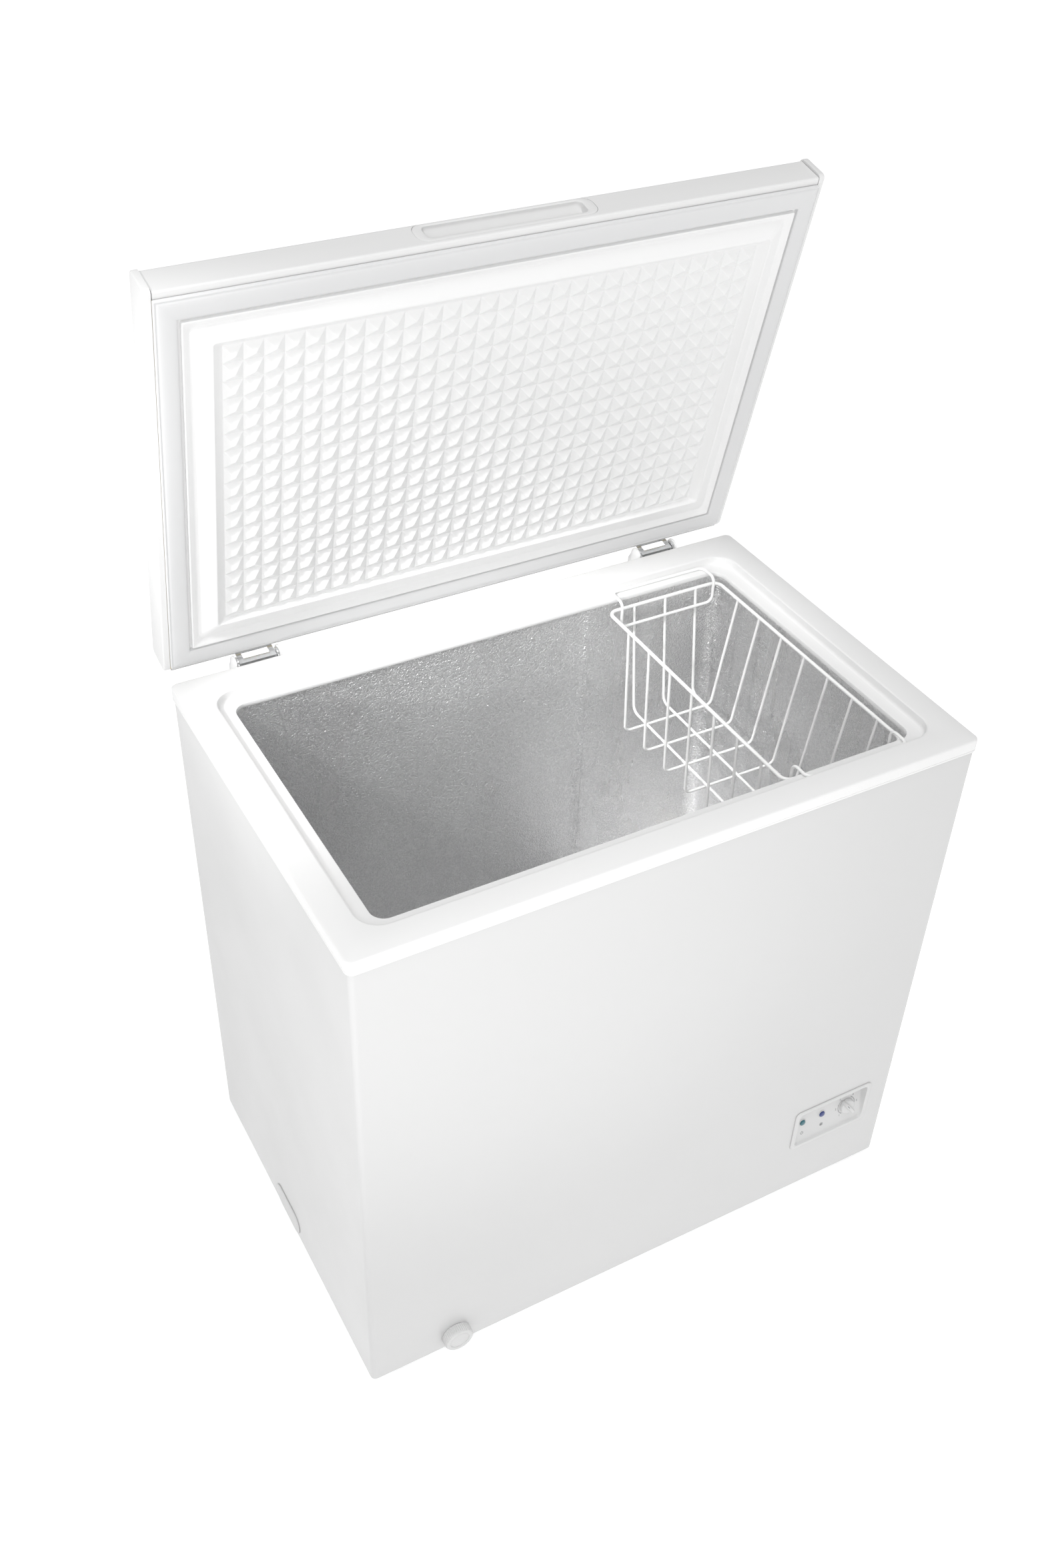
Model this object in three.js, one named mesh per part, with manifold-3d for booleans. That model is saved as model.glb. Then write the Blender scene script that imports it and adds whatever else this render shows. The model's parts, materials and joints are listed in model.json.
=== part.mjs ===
// Chest freezer: an insulated cabinet, a lid that stands open on two rear hinges, a wire basket that slides
// along the rim, the front controls, the defrost drain and the sealed refrigeration circuit.
// Millimetres. +X right, +Y back, +Z up; the feet stand on z = 0.
import * as THREE from "three";
import { mergeVertices } from "three/addons/utils/BufferGeometryUtils.js";
import Module from "manifold-3d";

const wasm = await Module();
wasm.setup();

// ---------------------------------------------------------------- driving dimensions

const GAP = 0.3; // clearance between neighbouring solids
const SHEET = 1.2; // steel and aluminium sheet

const CABINET = { halfWidth: 402, halfDepth: 260, bottom: 15, top: 767, corner: 7 };
const RIM = { halfWidth: 404, halfDepth: 262, top: 774, bottom: 762.6, plate: 6, corner: 9 };
const OPENING = { centreY: -3, halfWidth: 348, halfDepth: 205, corner: 26 };
const LEDGE = { halfWidth: 367.6, halfDepth: 222, top: 762.5, thick: 3, corner: 28, lip: 6, lipWall: 2 };
const LINER = { halfWidth: 350.3, halfDepth: 207.3, top: 759, floor: 76, stepX: 150, stepTop: 281 };
const FOAM = { halfWidth: 393, halfDepth: 251, bottom: 18, top: 757, cavityX: 362, cavityY: 219, corner: 30 };
const HOUSING = { left: 195.5, right: 390, top: 229.2 };
const FOOT = { x: 360, y: 218, radius: 20 };
const SIDE_CAP = { front: -22, back: 58, bottom: 19, top: 57, corner: 17, thick: 1.6 };

const HINGE = { x: 289, y: 272, z: 769, openAngle: 77, pinRadius: 3, halfWidth: 27 };
const LID = { halfWidth: 402.9, front: -265.5, back: 265, bottom: 780.6, top: 821, cap: 8 };
const LID_FACE = { front: -263, back: -254.5, top: 820.5 };
const HINGE_PLATE = { bottom: 655, top: 760, thick: 2.3, ear: 2.5, earRadius: 9.5 };
const HINGE_COVER = { bottom: 648, top: 762, back: 290, cheek: 2.4, radius: 12 };
const HINGE_ARM = { halfWidth: 23.7, bottom: 763, top: 816, thick: 2.5, earRadius: 7.5 };
const ARM_WINDOW = { halfWidth: 17, bottom: 767.5, top: 781 };
const HANDLE = { halfWidth: 108, bottom: 786, top: 818, depth: 23, pocketHalf: 96, lip: 8 };
const PLATEAU = { halfWidth: 338.5, halfDepth: 199, bottom: 768.2, slope: 12 };
const GASKET = { halfWidth: 394.6, front: -254.9, back: 258.2, bottom: RIM.top + GAP, width: 27.6, corner: 2 };

const BASKET = { left: 170.5, right: 343, halfDepth: 197, rimZ: 750, floorZ: 585, rimWire: 2.4, wire: 1.9 };
const BASKET_FLOOR = { left: 178, right: 318, halfDepth: 176 };
const CROSS = { count: 7, pitch: 49.5, centreY: -4.6 };
const LONG = { count: 3, pitch: 48.5, centreX: 258.5 };
const HOOK = { left: 186, right: 330, inner: 188, outer: 217, bottom: 727.8, wire: 2 };

const BEZEL = { left: 238, right: 368, bottom: 103, top: 181, front: -262, back: -246, border: 8 };
const PANEL_FACE = { bottomZ: 110, topZ: 174, bottomY: -258, topY: -248 };
const KNOB = { x: 336, z: 139.7, radius: 11.5, height: 6, shaft: 3, shaftDepth: 11 };
const GRIP = { length: 25, width: 6, height: 11, turn: 0.62 };
const LAMP = { z: 144, powerX: 259.5, runX: 293, radius: 4.6 };
const THERMOSTAT = { halfWidth: 17, halfHeight: 15, back: 36, front: 12.5, strapHalf: 20 };
const SENSOR = { y: -150, tube: 1.5, clearHole: 3 };
const DRAIN = { x: -283.4, z: 37, y: -150, tube: 7, bore: 5, dialRadius: 20, dialDepth: 12.5 };
const PLUG = { stem: 3.8, stemDepth: 18, flange: 14, knob: 6, height: 11 };
const COMPRESSOR = { x: 300, y: 60, radius: 75, bottom: 24, top: 196 };
const RAIL = { offset: 62, halfWidth: 14, halfLength: 92 };
const RELAY = { width: 21, bottom: 55, top: 105, halfDepth: 32, gap: 0.5 };
const EVAPORATOR = { bottom: 334, turns: 6, pitch: 60, tube: 3.5, gap: 4 };
const CONDENSER = { bottom: 250, turns: 5, pitch: 90, tube: 2.5 };
const SUCTION = { x: 300, z: 140, clearHole: 5.5, bend: 25 };
const DISCHARGE = { y: -120, z: 120, bend: 18 };
const DRIER = { x: 230, y: 190, z: 60, radius: 9, stub: 3, length: 112 };
const GLAND = { x: 170, z: 70, hole: 9 };
const GRILLE = { left: 222, right: 392, bottom: 42, top: 212, border: 6, thick: 2.5 };
const GRILLE_SLOT = { count: 9, halfHeight: 4, margin: 8 };

// ---------------------------------------------------------------- geometry helpers

const V3 = (x, y, z) => new THREE.Vector3(x, y, z);

function toSolid(geometry) {
  const bare = geometry.index ? geometry.toNonIndexed() : geometry.clone();
  bare.deleteAttribute("normal");
  bare.deleteAttribute("uv");
  const merged = mergeVertices(bare, 1e-4);
  const vertProperties = merged.attributes.position.array;
  const triVerts = new Uint32Array(merged.index.array);
  return new wasm.Manifold(new wasm.Mesh({ numProp: 3, vertProperties, triVerts }));
}

function toGeometry(solid) {
  const mesh = solid.getMesh();
  const geometry = new THREE.BufferGeometry();
  geometry.setAttribute("position", new THREE.BufferAttribute(new Float32Array(mesh.vertProperties), 3));
  geometry.setIndex(new THREE.BufferAttribute(new Uint32Array(mesh.triVerts), 1));
  const faceted = geometry.toNonIndexed();
  faceted.computeVertexNormals();
  return faceted;
}

const join = (...pieces) => toGeometry(pieces.map(toSolid).reduce((a, b) => a.add(b)));
const cut = (body, ...tools) =>
  toGeometry(tools.map(toSolid).reduce((a, b) => a.subtract(b), toSolid(body)));
const common = (a, b) => toGeometry(toSolid(a).intersect(toSolid(b)));

function block(x0, x1, y0, y1, z0, z1) {
  const box = new THREE.BoxGeometry(x1 - x0, y1 - y0, z1 - z0);
  return box.translate((x0 + x1) / 2, (y0 + y1) / 2, (z0 + z1) / 2);
}

function outline(x0, x1, y0, y1, r) {
  const shape = new THREE.Shape();
  shape.absarc(x1 - r, y0 + r, r, -Math.PI / 2, 0, false);
  shape.absarc(x1 - r, y1 - r, r, 0, Math.PI / 2, false);
  shape.absarc(x0 + r, y1 - r, r, Math.PI / 2, Math.PI, false);
  shape.absarc(x0 + r, y0 + r, r, Math.PI, Math.PI * 1.5, false);
  return shape;
}

const polygon = (points) => new THREE.Shape(points.map(([u, v]) => new THREE.Vector2(u, v)));

function disc(u, v, radius, sides) {
  const corner = (_, i) => {
    const turn = (2 * Math.PI * i) / sides;
    return [u + radius * Math.cos(turn), v + radius * Math.sin(turn)];
  };
  return polygon(Array.from({ length: sides }, corner));
}

const prism = (shape, depth) =>
  new THREE.ExtrudeGeometry(shape, { depth, bevelEnabled: false, curveSegments: 3 });

// A shape drawn in X and Y, raised from z0 to z1.
const alongZ = (shape, z0, z1) => prism(shape, z1 - z0).translate(0, 0, z0);

// A shape drawn in Y and Z, run from x0 to x1.
function alongX(shape, x0, x1) {
  const turn = new THREE.Matrix4().makeBasis(V3(0, 1, 0), V3(0, 0, 1), V3(1, 0, 0));
  return prism(shape, x1 - x0).applyMatrix4(turn).translate(x0, 0, 0);
}

// A shape drawn in X and Z, run from y0 to y1.
function alongY(shape, y0, y1) {
  const turn = new THREE.Matrix4().makeBasis(V3(1, 0, 0), V3(0, 0, 1), V3(0, -1, 0));
  return prism(shape, y1 - y0).applyMatrix4(turn).translate(0, y1, 0);
}

// A turned piece about +Z; the profile runs from the bottom to the top as [radius, height].
function turned(profile, sides) {
  const points = profile.map(([r, h]) => new THREE.Vector2(r, h));
  return new THREE.LatheGeometry(points, sides).rotateX(Math.PI / 2);
}

// A path through given points, each its own step, so that straight runs cost one step and bends a few.
class BentPath extends THREE.Curve {
  constructor(points, closed = false) {
    super();
    this.points = points;
    this.closed = closed;
    this.spans = closed ? points.length : points.length - 1;
  }
  vertex(i) {
    const n = this.points.length;
    return this.closed ? this.points[((i % n) + n) % n] : this.points[Math.max(0, Math.min(n - 1, i))];
  }
  getPoint(t, target = V3(0, 0, 0)) {
    const s = t * this.spans;
    const i = Math.floor(s + 1e-9);
    return target.copy(this.vertex(i)).lerp(this.vertex(i + 1), Math.max(0, s - i));
  }
  getPointAt(u, target) {
    return this.getPoint(u, target);
  }
  getTangentAt(u, target = V3(0, 0, 0)) {
    const i = Math.round(u * this.spans);
    const before = this.vertex(i).clone().sub(this.vertex(i - 1)).normalize();
    const after = this.vertex(i + 1).clone().sub(this.vertex(i)).normalize();
    return target.copy(before).add(after).normalize();
  }
}

// Corner points with each inner corner replaced by a short bend.
function rounded(corners, radius, closed = false) {
  const n = corners.length;
  const points = [];
  corners.forEach((corner, i) => {
    if (!closed && (i === 0 || i === n - 1)) {
      points.push(corner);
      return;
    }
    const before = corners[(i + n - 1) % n].clone().sub(corner).normalize();
    const after = corners[(i + 1) % n].clone().sub(corner).normalize();
    const bend = new THREE.QuadraticBezierCurve3(
      corner.clone().addScaledVector(before, radius),
      corner,
      corner.clone().addScaledVector(after, radius),
    );
    points.push(...bend.getPoints(3));
  });
  return points;
}

function rod(corners, radius, bend, sides = 6, section = disc(0, 0, radius, sides)) {
  const path = new BentPath(rounded(corners, bend));
  return new THREE.ExtrudeGeometry(section, { steps: path.spans, extrudePath: path, bevelEnabled: false });
}

function ring(corners, radius, bend, sides = 6) {
  const path = new BentPath(rounded(corners, bend, true), true);
  return new THREE.TubeGeometry(path, path.spans, radius, sides, true);
}

// A tube wound round a rectangle: four corners a turn, rising steadily.
function winding(start, corners, turns, pitch, radius) {
  const points = [start];
  for (let i = 0; i < turns * corners.length; i += 1) {
    const [x, y] = corners[i % corners.length];
    points.push(V3(x, y, start.z + (pitch * (i + 1)) / corners.length));
  }
  points.push(V3(start.x, start.y, start.z + pitch * turns + pitch / corners.length));
  return rod(points, radius, 22);
}

function finish(color, roughness, metalness = 0) {
  return new THREE.MeshStandardMaterial({ color, roughness, metalness });
}

const PAINT = finish(0xf1f1f0, 0.32);
const WHITE_PLASTIC = finish(0xf4f4f3, 0.42);
const GALVANISED = finish(0xb9bcc0, 0.45, 0.8);
const EMBOSSED_ALUMINIUM = finish(0xaeb1b4, 0.38, 0.9);
const INSULATION = finish(0xe9dfb4, 0.9);
const COPPER = finish(0xb87850, 0.35, 0.9);
const BLACK_STEEL = finish(0x1c1d1f, 0.5, 0.2);
const BLACK_PLASTIC = finish(0x242527, 0.6);
const CHROME = finish(0xd5d7da, 0.12, 1);
const SEAL = finish(0xd9dadb, 0.7);
const COATED_WIRE = finish(0xf7f7f6, 0.35);
const GREEN_LENS = finish(0x2fae8a, 0.2);
const BLUE_LENS = finish(0x2b62d6, 0.2);

function add(parent, name, geometry, material) {
  const mesh = new THREE.Mesh(geometry, material);
  mesh.name = name;
  parent.add(mesh);
  return mesh;
}

const SIDES = [["left", -1], ["right", 1]];

// ---------------------------------------------------------------- cabinet

const openingOutline = (halfWidth, halfDepth, r) =>
  outline(-halfWidth, halfWidth, OPENING.centreY - halfDepth, OPENING.centreY + halfDepth, r);

function frameRing(outer, hole, z0, z1) {
  const shape = outer.clone();
  shape.holes.push(hole);
  return alongZ(shape, z0, z1);
}

// Half the width of the back opening, between the folded rear edges of the shell.
const backHalf = CABINET.halfWidth - CABINET.corner - 1;

// Front and sides in one folded sheet, open at the back.
function cabinetShell() {
  const { halfWidth: w, halfDepth: d, bottom, top, corner } = CABINET;
  const outer = alongZ(outline(-w, w, -d, d, corner), bottom, top);
  const hollow = outline(SHEET - w, w - SHEET, SHEET - d, d - SHEET, corner - SHEET);
  const inner = alongZ(hollow, bottom - 1, top + 1);
  const backCut = block(-backHalf, backHalf, d - 5, d + 5, bottom - 1, top + 1);
  const inset = BEZEL.border / 2 - GAP;
  const { left, right, bottom: low, top: high } = BEZEL;
  const window = block(left + inset, right - inset, -d - 1, -d + 3, low + inset, high - inset);
  const drainHole = alongY(disc(DRAIN.x, DRAIN.z, DRAIN.tube + 0.5, 16), -d - 1, -d + 3);
  return cut(outer, inner, backCut, window, drainHole);
}

function backPanel() {
  const { halfDepth: d, bottom, top } = CABINET;
  const x = backHalf - GAP;
  const shape = polygon([[-x, bottom], [x, bottom], [x, top], [-x, top]]);
  const { left, right, bottom: low, top: high, border } = GRILLE;
  shape.holes.push(outline(left + border, right - border, low + border, high - border, 4));
  shape.holes.push(disc(GLAND.x, GLAND.z, GLAND.hole, 16));
  return alongY(shape, d - SHEET, d);
}

function basePlate() {
  const x = CABINET.halfWidth - SHEET - GAP;
  const y = CABINET.halfDepth - SHEET - GAP;
  return alongZ(outline(-x, x, -y, y, CABINET.corner), CABINET.bottom + GAP, CABINET.bottom + GAP + SHEET);
}

// The plastic collar round the mouth: a top plate with an outer skirt, an inner ledge and a lip over
// the liner.
function topRim() {
  const outer = outline(-RIM.halfWidth, RIM.halfWidth, -RIM.halfDepth, RIM.halfDepth, RIM.corner);
  const inset = CABINET.halfWidth + GAP;
  const insetY = CABINET.halfDepth + GAP;
  const skirtHole = outline(-inset, inset, -insetY, insetY, CABINET.corner + GAP);
  const step = openingOutline(LEDGE.halfWidth, LEDGE.halfDepth, LEDGE.corner);
  const { thick, lip, lipWall } = LEDGE;
  const stepOuter = openingOutline(LEDGE.halfWidth + thick, LEDGE.halfDepth + thick, LEDGE.corner + thick);
  const mouth = openingOutline(OPENING.halfWidth, OPENING.halfDepth, OPENING.corner);
  const lipOuter = openingOutline(
    OPENING.halfWidth + lipWall, OPENING.halfDepth + lipWall, OPENING.corner + lipWall,
  );
  const plateBottom = RIM.top - RIM.plate;
  return join(
    frameRing(outer, step, plateBottom, RIM.top),
    frameRing(outer, skirtHole, RIM.bottom, plateBottom + 1),
    frameRing(stepOuter, step, LEDGE.top - thick, plateBottom + 1),
    frameRing(stepOuter, mouth, LEDGE.top - thick, LEDGE.top),
    frameRing(lipOuter, mouth, LEDGE.top - lip, LEDGE.top),
  );
}

function linerWall() {
  const { halfWidth: w, halfDepth: d, top, floor, stepX, stepTop } = LINER;
  const r = OPENING.corner + LEDGE.lipWall + GAP;
  const outer = openingOutline(w + SHEET, d + SHEET, r + SHEET);
  const wall = frameRing(outer, openingOutline(w, d, r), floor - 1, top);
  return cut(wall, block(stepX - 0.6, w + 20, -d - 30, d + 30, floor - 5, stepTop - 1));
}

// The floor pan rises over the compressor housing at the right-hand end.
function linerFloor() {
  const { halfWidth: w, halfDepth: d, floor, stepX, stepTop } = LINER;
  const x = w - GAP;
  const profile = polygon([
    [-x, floor - 1], [stepX, floor - 1], [stepX, stepTop - 1], [x, stepTop - 1], [x, stepTop],
    [stepX - 1, stepTop], [stepX - 1, floor], [-x, floor],
  ]);
  const pan = alongY(profile, OPENING.centreY - d - 10, OPENING.centreY + d + 10);
  const inside = alongZ(openingOutline(x, d - GAP, OPENING.corner + 2), floor - 10, stepTop + 10);
  const drain = alongZ(disc(DRAIN.x, DRAIN.y, 8, 16), floor - 5, floor + 5);
  return cut(common(pan, inside), drain);
}

function foamInsulation() {
  const { halfWidth: w, halfDepth: d, bottom, top, cavityX, cavityY, corner } = FOAM;
  const y0 = OPENING.centreY - cavityY;
  const y1 = OPENING.centreY + cavityY;
  const stepX = LINER.stepX + 1 + GAP;
  return cut(
    alongZ(outline(-w, w, -d, d, corner), bottom, top),
    block(-cavityX, stepX, y0, y1, LINER.floor - 1 - GAP, top + 1),
    block(stepX - 1, cavityX, y0, y1, LINER.stepTop - 1 - GAP, top + 1),
    block(HOUSING.left - GAP, w + 1, -d - 1, d + 1, bottom - 1, HOUSING.top + GAP),
    alongZ(disc(DRAIN.x, DRAIN.y, DRAIN.tube + 4, 12), bottom + 5, LINER.floor + 5),
    alongY(disc(DRAIN.x, DRAIN.z, DRAIN.tube + 4, 12), -d - 5, DRAIN.y + 4),
    alongZ(disc(SUCTION.x, suctionY(), SUCTION.clearHole, 12), HOUSING.top - 5, LINER.stepTop + 5),
    alongZ(disc(KNOB.x, SENSOR.y, SENSOR.clearHole, 8), HOUSING.top - 5, LINER.stepTop + 5),
  );
}

// Folded sheet that boxes in the machine space under the step.
function compressorHousing() {
  const y = FOAM.halfDepth;
  const { left, right, top } = HOUSING;
  const profile = polygon([
    [left, FOAM.bottom], [left + SHEET, FOAM.bottom], [left + SHEET, top - SHEET], [right, top - SHEET],
    [right, top], [left, top],
  ]);
  return cut(
    alongY(profile, -y, y),
    alongZ(disc(SUCTION.x, suctionY(), SUCTION.clearHole, 12), top - 5, top + 5),
    alongZ(disc(KNOB.x, SENSOR.y, SENSOR.clearHole, 8), top - 5, top + 5),
  );
}

function foot() {
  const r = FOOT.radius;
  return turned([[0, 0], [r - 2, 0], [r, 2], [r - 1, 6], [r - 6, CABINET.bottom], [0, CABINET.bottom]], 16);
}

// A low cover at the foot of the left side.
function sideCap() {
  const { front, back, bottom, top, corner, thick } = SIDE_CAP;
  const face = -CABINET.halfWidth - GAP;
  return alongX(outline(front, back, bottom, top, corner), face - thick, face);
}

function rearGrille() {
  const { left, right, bottom, top, border, thick } = GRILLE;
  const { count, halfHeight, margin } = GRILLE_SLOT;
  const shape = outline(left, right, bottom, top, 6);
  const first = bottom + border + halfHeight;
  const pitch = (top - border - halfHeight - first) / count;
  const inset = border + margin;
  for (let i = 0; i < count; i += 1) {
    const z = first + pitch * (i + 0.5);
    shape.holes.push(outline(left + inset, right - inset, z - halfHeight, z + halfHeight, 3));
  }
  return alongY(shape, CABINET.halfDepth + GAP, CABINET.halfDepth + GAP + thick);
}

function cordGland() {
  const profile = [[4, -6], [8.5, -6], [8.5, 0.4], [12, 0.4], [12, 4], [7, 12], [4, 12], [4, -6]];
  return turned(profile, 16).rotateX(-Math.PI / 2).translate(GLAND.x, CABINET.halfDepth, GLAND.z);
}

function addCabinet(root) {
  add(root, "cabinet_shell", cabinetShell(), PAINT);
  add(root, "back_panel", backPanel(), GALVANISED);
  add(root, "base_plate", basePlate(), GALVANISED);
  add(root, "top_rim", topRim(), WHITE_PLASTIC);
  add(root, "liner_wall", linerWall(), EMBOSSED_ALUMINIUM);
  add(root, "liner_floor", linerFloor(), EMBOSSED_ALUMINIUM);
  add(root, "foam_insulation", foamInsulation(), INSULATION);
  add(root, "compressor_housing", compressorHousing(), GALVANISED);
  add(root, "side_cap", sideCap(), WHITE_PLASTIC);
  add(root, "rear_grille", rearGrille(), BLACK_PLASTIC);
  add(root, "cord_gland", cordGland(), BLACK_PLASTIC);
  for (const [end, y] of [["front", -FOOT.y], ["rear", FOOT.y]]) {
    for (const [side, sign] of SIDES) {
      add(root, `foot_${end}_${side}`, foot(), BLACK_PLASTIC).position.set(sign * FOOT.x, y, 0);
    }
  }
}

// ---------------------------------------------------------------- refrigeration circuit

const suctionY = () => OPENING.centreY + LINER.halfDepth + SHEET + EVAPORATOR.gap;

// Evaporator tube wound round the liner, buried in the insulation.
function evaporatorCoil() {
  const { bottom, turns, pitch, tube, gap } = EVAPORATOR;
  const x = LINER.halfWidth + SHEET + gap;
  const front = OPENING.centreY - LINER.halfDepth - SHEET - gap;
  const corners = [[-x, suctionY()], [-x, front], [x, front], [x, suctionY()]];
  return winding(V3(SUCTION.x, suctionY(), bottom), corners, turns, pitch, tube);
}

// Condenser tube wound inside the outer sheet.
function condenserCoil() {
  const x = (FOAM.halfWidth + CABINET.halfWidth - SHEET) / 2;
  const y = (FOAM.halfDepth + CABINET.halfDepth - SHEET) / 2;
  const { bottom, turns, pitch, tube } = CONDENSER;
  const corners = [[x, -y], [-x, -y], [-x, y], [x, y]];
  return winding(V3(x, DISCHARGE.y, bottom), corners, turns, pitch, tube);
}

function compressor() {
  const { x, y, radius: r, bottom, top } = COMPRESSOR;
  const can = turned([
    [0, bottom], [r * 0.8, bottom], [r, bottom + 18],
    [r, bottom + 84], [r + 4, bottom + 85], [r + 4, bottom + 91],
    [r - 1, bottom + 92], [r - 1, top - 50], [r * 0.86, top - 20], [r * 0.55, top - 5], [0, top],
  ], 28).translate(x, y, 0);
  const floor = CABINET.bottom + 2 * GAP + SHEET;
  const { offset, halfWidth, halfLength } = RAIL;
  const rails = [-1, 1].map((side) => {
    const middle = x + side * offset;
    return block(middle - halfWidth, middle + halfWidth, y - halfLength, y + halfLength, floor, bottom + 6);
  });
  return join(can, ...rails);
}

function relayCover() {
  const { width, bottom, top, halfDepth, gap } = RELAY;
  const right = COMPRESSOR.x - COMPRESSOR.radius - gap;
  const shape = outline(right - width, right, bottom, top, 4);
  return alongY(shape, COMPRESSOR.y - halfDepth, COMPRESSOR.y + halfDepth);
}

function filterDrier() {
  const { x, y, z, radius: r, stub, length } = DRIER;
  const half = [[0, 0], [stub, 0], [stub, 12], [r, 20]];
  const mirrored = half.map(([u, v]) => [u, length - v]).reverse();
  return turned([...half, ...mirrored], 14).translate(x, y, z);
}

function suctionLine() {
  const { x, z, bend } = SUCTION;
  const end = COMPRESSOR.y + COMPRESSOR.radius + 2 * GAP;
  const top = EVAPORATOR.bottom - 4;
  return rod([V3(x, suctionY(), top), V3(x, suctionY(), z), V3(x, end, z)], EVAPORATOR.tube, bend);
}

function dischargeLine() {
  const { y, z, bend } = DISCHARGE;
  const start = COMPRESSOR.y - COMPRESSOR.radius - 5;
  const x = (FOAM.halfWidth + CABINET.halfWidth - SHEET) / 2;
  const top = CONDENSER.bottom - 3;
  const corners = [V3(COMPRESSOR.x, start, z), V3(COMPRESSOR.x, y, z), V3(x, y, z), V3(x, y, top)];
  return rod(corners, CONDENSER.tube, bend);
}

function addRefrigeration(root) {
  add(root, "evaporator_coil", evaporatorCoil(), COPPER);
  add(root, "condenser_coil", condenserCoil(), COPPER);
  add(root, "compressor", compressor(), BLACK_STEEL);
  add(root, "relay_cover", relayCover(), BLACK_PLASTIC);
  add(root, "filter_drier", filterDrier(), COPPER);
  add(root, "suction_line", suctionLine(), COPPER);
  add(root, "discharge_line", dischargeLine(), COPPER);
}

// ---------------------------------------------------------------- controls and drain

const panelSlope = Math.atan2(PANEL_FACE.topY - PANEL_FACE.bottomY, PANEL_FACE.topZ - PANEL_FACE.bottomZ);

function panelY(z) {
  const share = (z - PANEL_FACE.bottomZ) / (PANEL_FACE.topZ - PANEL_FACE.bottomZ);
  return PANEL_FACE.bottomY + share * (PANEL_FACE.topY - PANEL_FACE.bottomY);
}

// Turns a piece made about +Z so that it stands on the sloping panel face and points out of it.
function onPanel(geometry, x, z) {
  return geometry.rotateX(Math.PI / 2 - panelSlope).translate(x, panelY(z), z);
}

// Flanged surround whose recessed face slopes back towards the top.
function controlBezel() {
  const { left, right, bottom, top, front, back, border } = BEZEL;
  const half = border / 2;
  const flange = alongY(outline(left, right, bottom, top, 8), front, -CABINET.halfDepth - GAP);
  const body = alongY(outline(left + half, right - half, bottom + half, top - half, 5), front + 0.5, back);
  const recess = alongX(polygon([
    [front - 1, PANEL_FACE.bottomZ], [PANEL_FACE.bottomY, PANEL_FACE.bottomZ],
    [PANEL_FACE.topY, PANEL_FACE.topZ], [front - 1, PANEL_FACE.topZ],
  ]), left + border, right - border);
  const shaftHole = onPanel(alongZ(disc(0, 0, KNOB.shaft + 2 * GAP, 12), -20, 10), KNOB.x, KNOB.z);
  return cut(join(flange, body), recess, shaftHole);
}

function controlKnob() {
  const { radius: r, height: h, shaft, shaftDepth: deep } = KNOB;
  const profile = [[0, -deep], [shaft, -deep], [shaft, GAP], [r, GAP], [r, h - 1.5], [r - 1.5, h], [0, h]];
  const shape = outline(-GRIP.width / 2, GRIP.width / 2, -GRIP.length / 2, GRIP.length / 2, 2.9);
  const grip = alongZ(shape, GAP, GRIP.height).rotateZ(GRIP.turn);
  return onPanel(join(turned(profile, 24), grip), KNOB.x, KNOB.z);
}

function lampLens(x) {
  const r = LAMP.radius;
  return onPanel(turned([[0, GAP], [r, GAP], [r, 1], [r * 0.75, 2], [0, 2.4]], 12), x, LAMP.z);
}

function thermostat() {
  const { halfWidth: w, halfHeight: h, back, front, strapHalf } = THERMOSTAT;
  const can = block(-w, w, -h, h, -back, -front);
  const strap = block(-strapHalf, strapHalf, -4, 4, -front - 2, 0.5 - front);
  return onPanel(join(can, strap), KNOB.x, KNOB.z);
}

function sensingTube() {
  const z = KNOB.z - 6;
  const start = panelY(KNOB.z) + THERMOSTAT.back + 2;
  const { y, tube } = SENSOR;
  return rod([V3(KNOB.x, start, z), V3(KNOB.x, y, z), V3(KNOB.x, y, LINER.stepTop - 2)], tube, 12);
}

function drainTube() {
  const { x, y, z, tube, bore } = DRAIN;
  const section = disc(0, 0, tube, 10);
  section.holes.push(disc(0, 0, bore, 10));
  const corners = [V3(x, y, LINER.floor - 1 - GAP), V3(x, y, z), V3(x, GAP - CABINET.halfDepth, z)];
  return rod(corners, tube, 14, 10, section);
}

function drainDial() {
  const { x, z, dialRadius: r, dialDepth: h } = DRAIN;
  const profile = [[0, 0], [r, 0], [r, h - 1.5], [r - 1.5, h], [r - 6, h], [r - 7, h - 1.2], [0, h - 1.2]];
  return turned(profile, 32).rotateX(Math.PI / 2).translate(x, -CABINET.halfDepth - GAP, z);
}

function drainPlug() {
  const z = LINER.floor + GAP;
  const { stem, stemDepth, flange, knob, height } = PLUG;
  const profile = [
    [0, z - stemDepth], [stem, z - stemDepth], [stem, z], [flange, z], [flange, z + 3], [knob, z + 4.5],
    [knob, z + height - 1], [0, z + height],
  ];
  return turned(profile, 16).translate(DRAIN.x, DRAIN.y, 0);
}

function addControls(root) {
  add(root, "control_bezel", controlBezel(), WHITE_PLASTIC);
  add(root, "control_knob", controlKnob(), WHITE_PLASTIC);
  add(root, "power_lamp", lampLens(LAMP.powerX), GREEN_LENS);
  add(root, "run_lamp", lampLens(LAMP.runX), BLUE_LENS);
  add(root, "thermostat", thermostat(), BLACK_PLASTIC);
  add(root, "sensing_tube", sensingTube(), COPPER);
  add(root, "drain_tube", drainTube(), WHITE_PLASTIC);
  add(root, "drain_dial", drainDial(), WHITE_PLASTIC);
  add(root, "drain_plug", drainPlug(), WHITE_PLASTIC);
}

// ---------------------------------------------------------------- hinges

const pinHole = (x0, x1) => alongX(disc(HINGE.y, HINGE.z, HINGE.pinRadius + GAP, 16), x0, x1);

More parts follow.
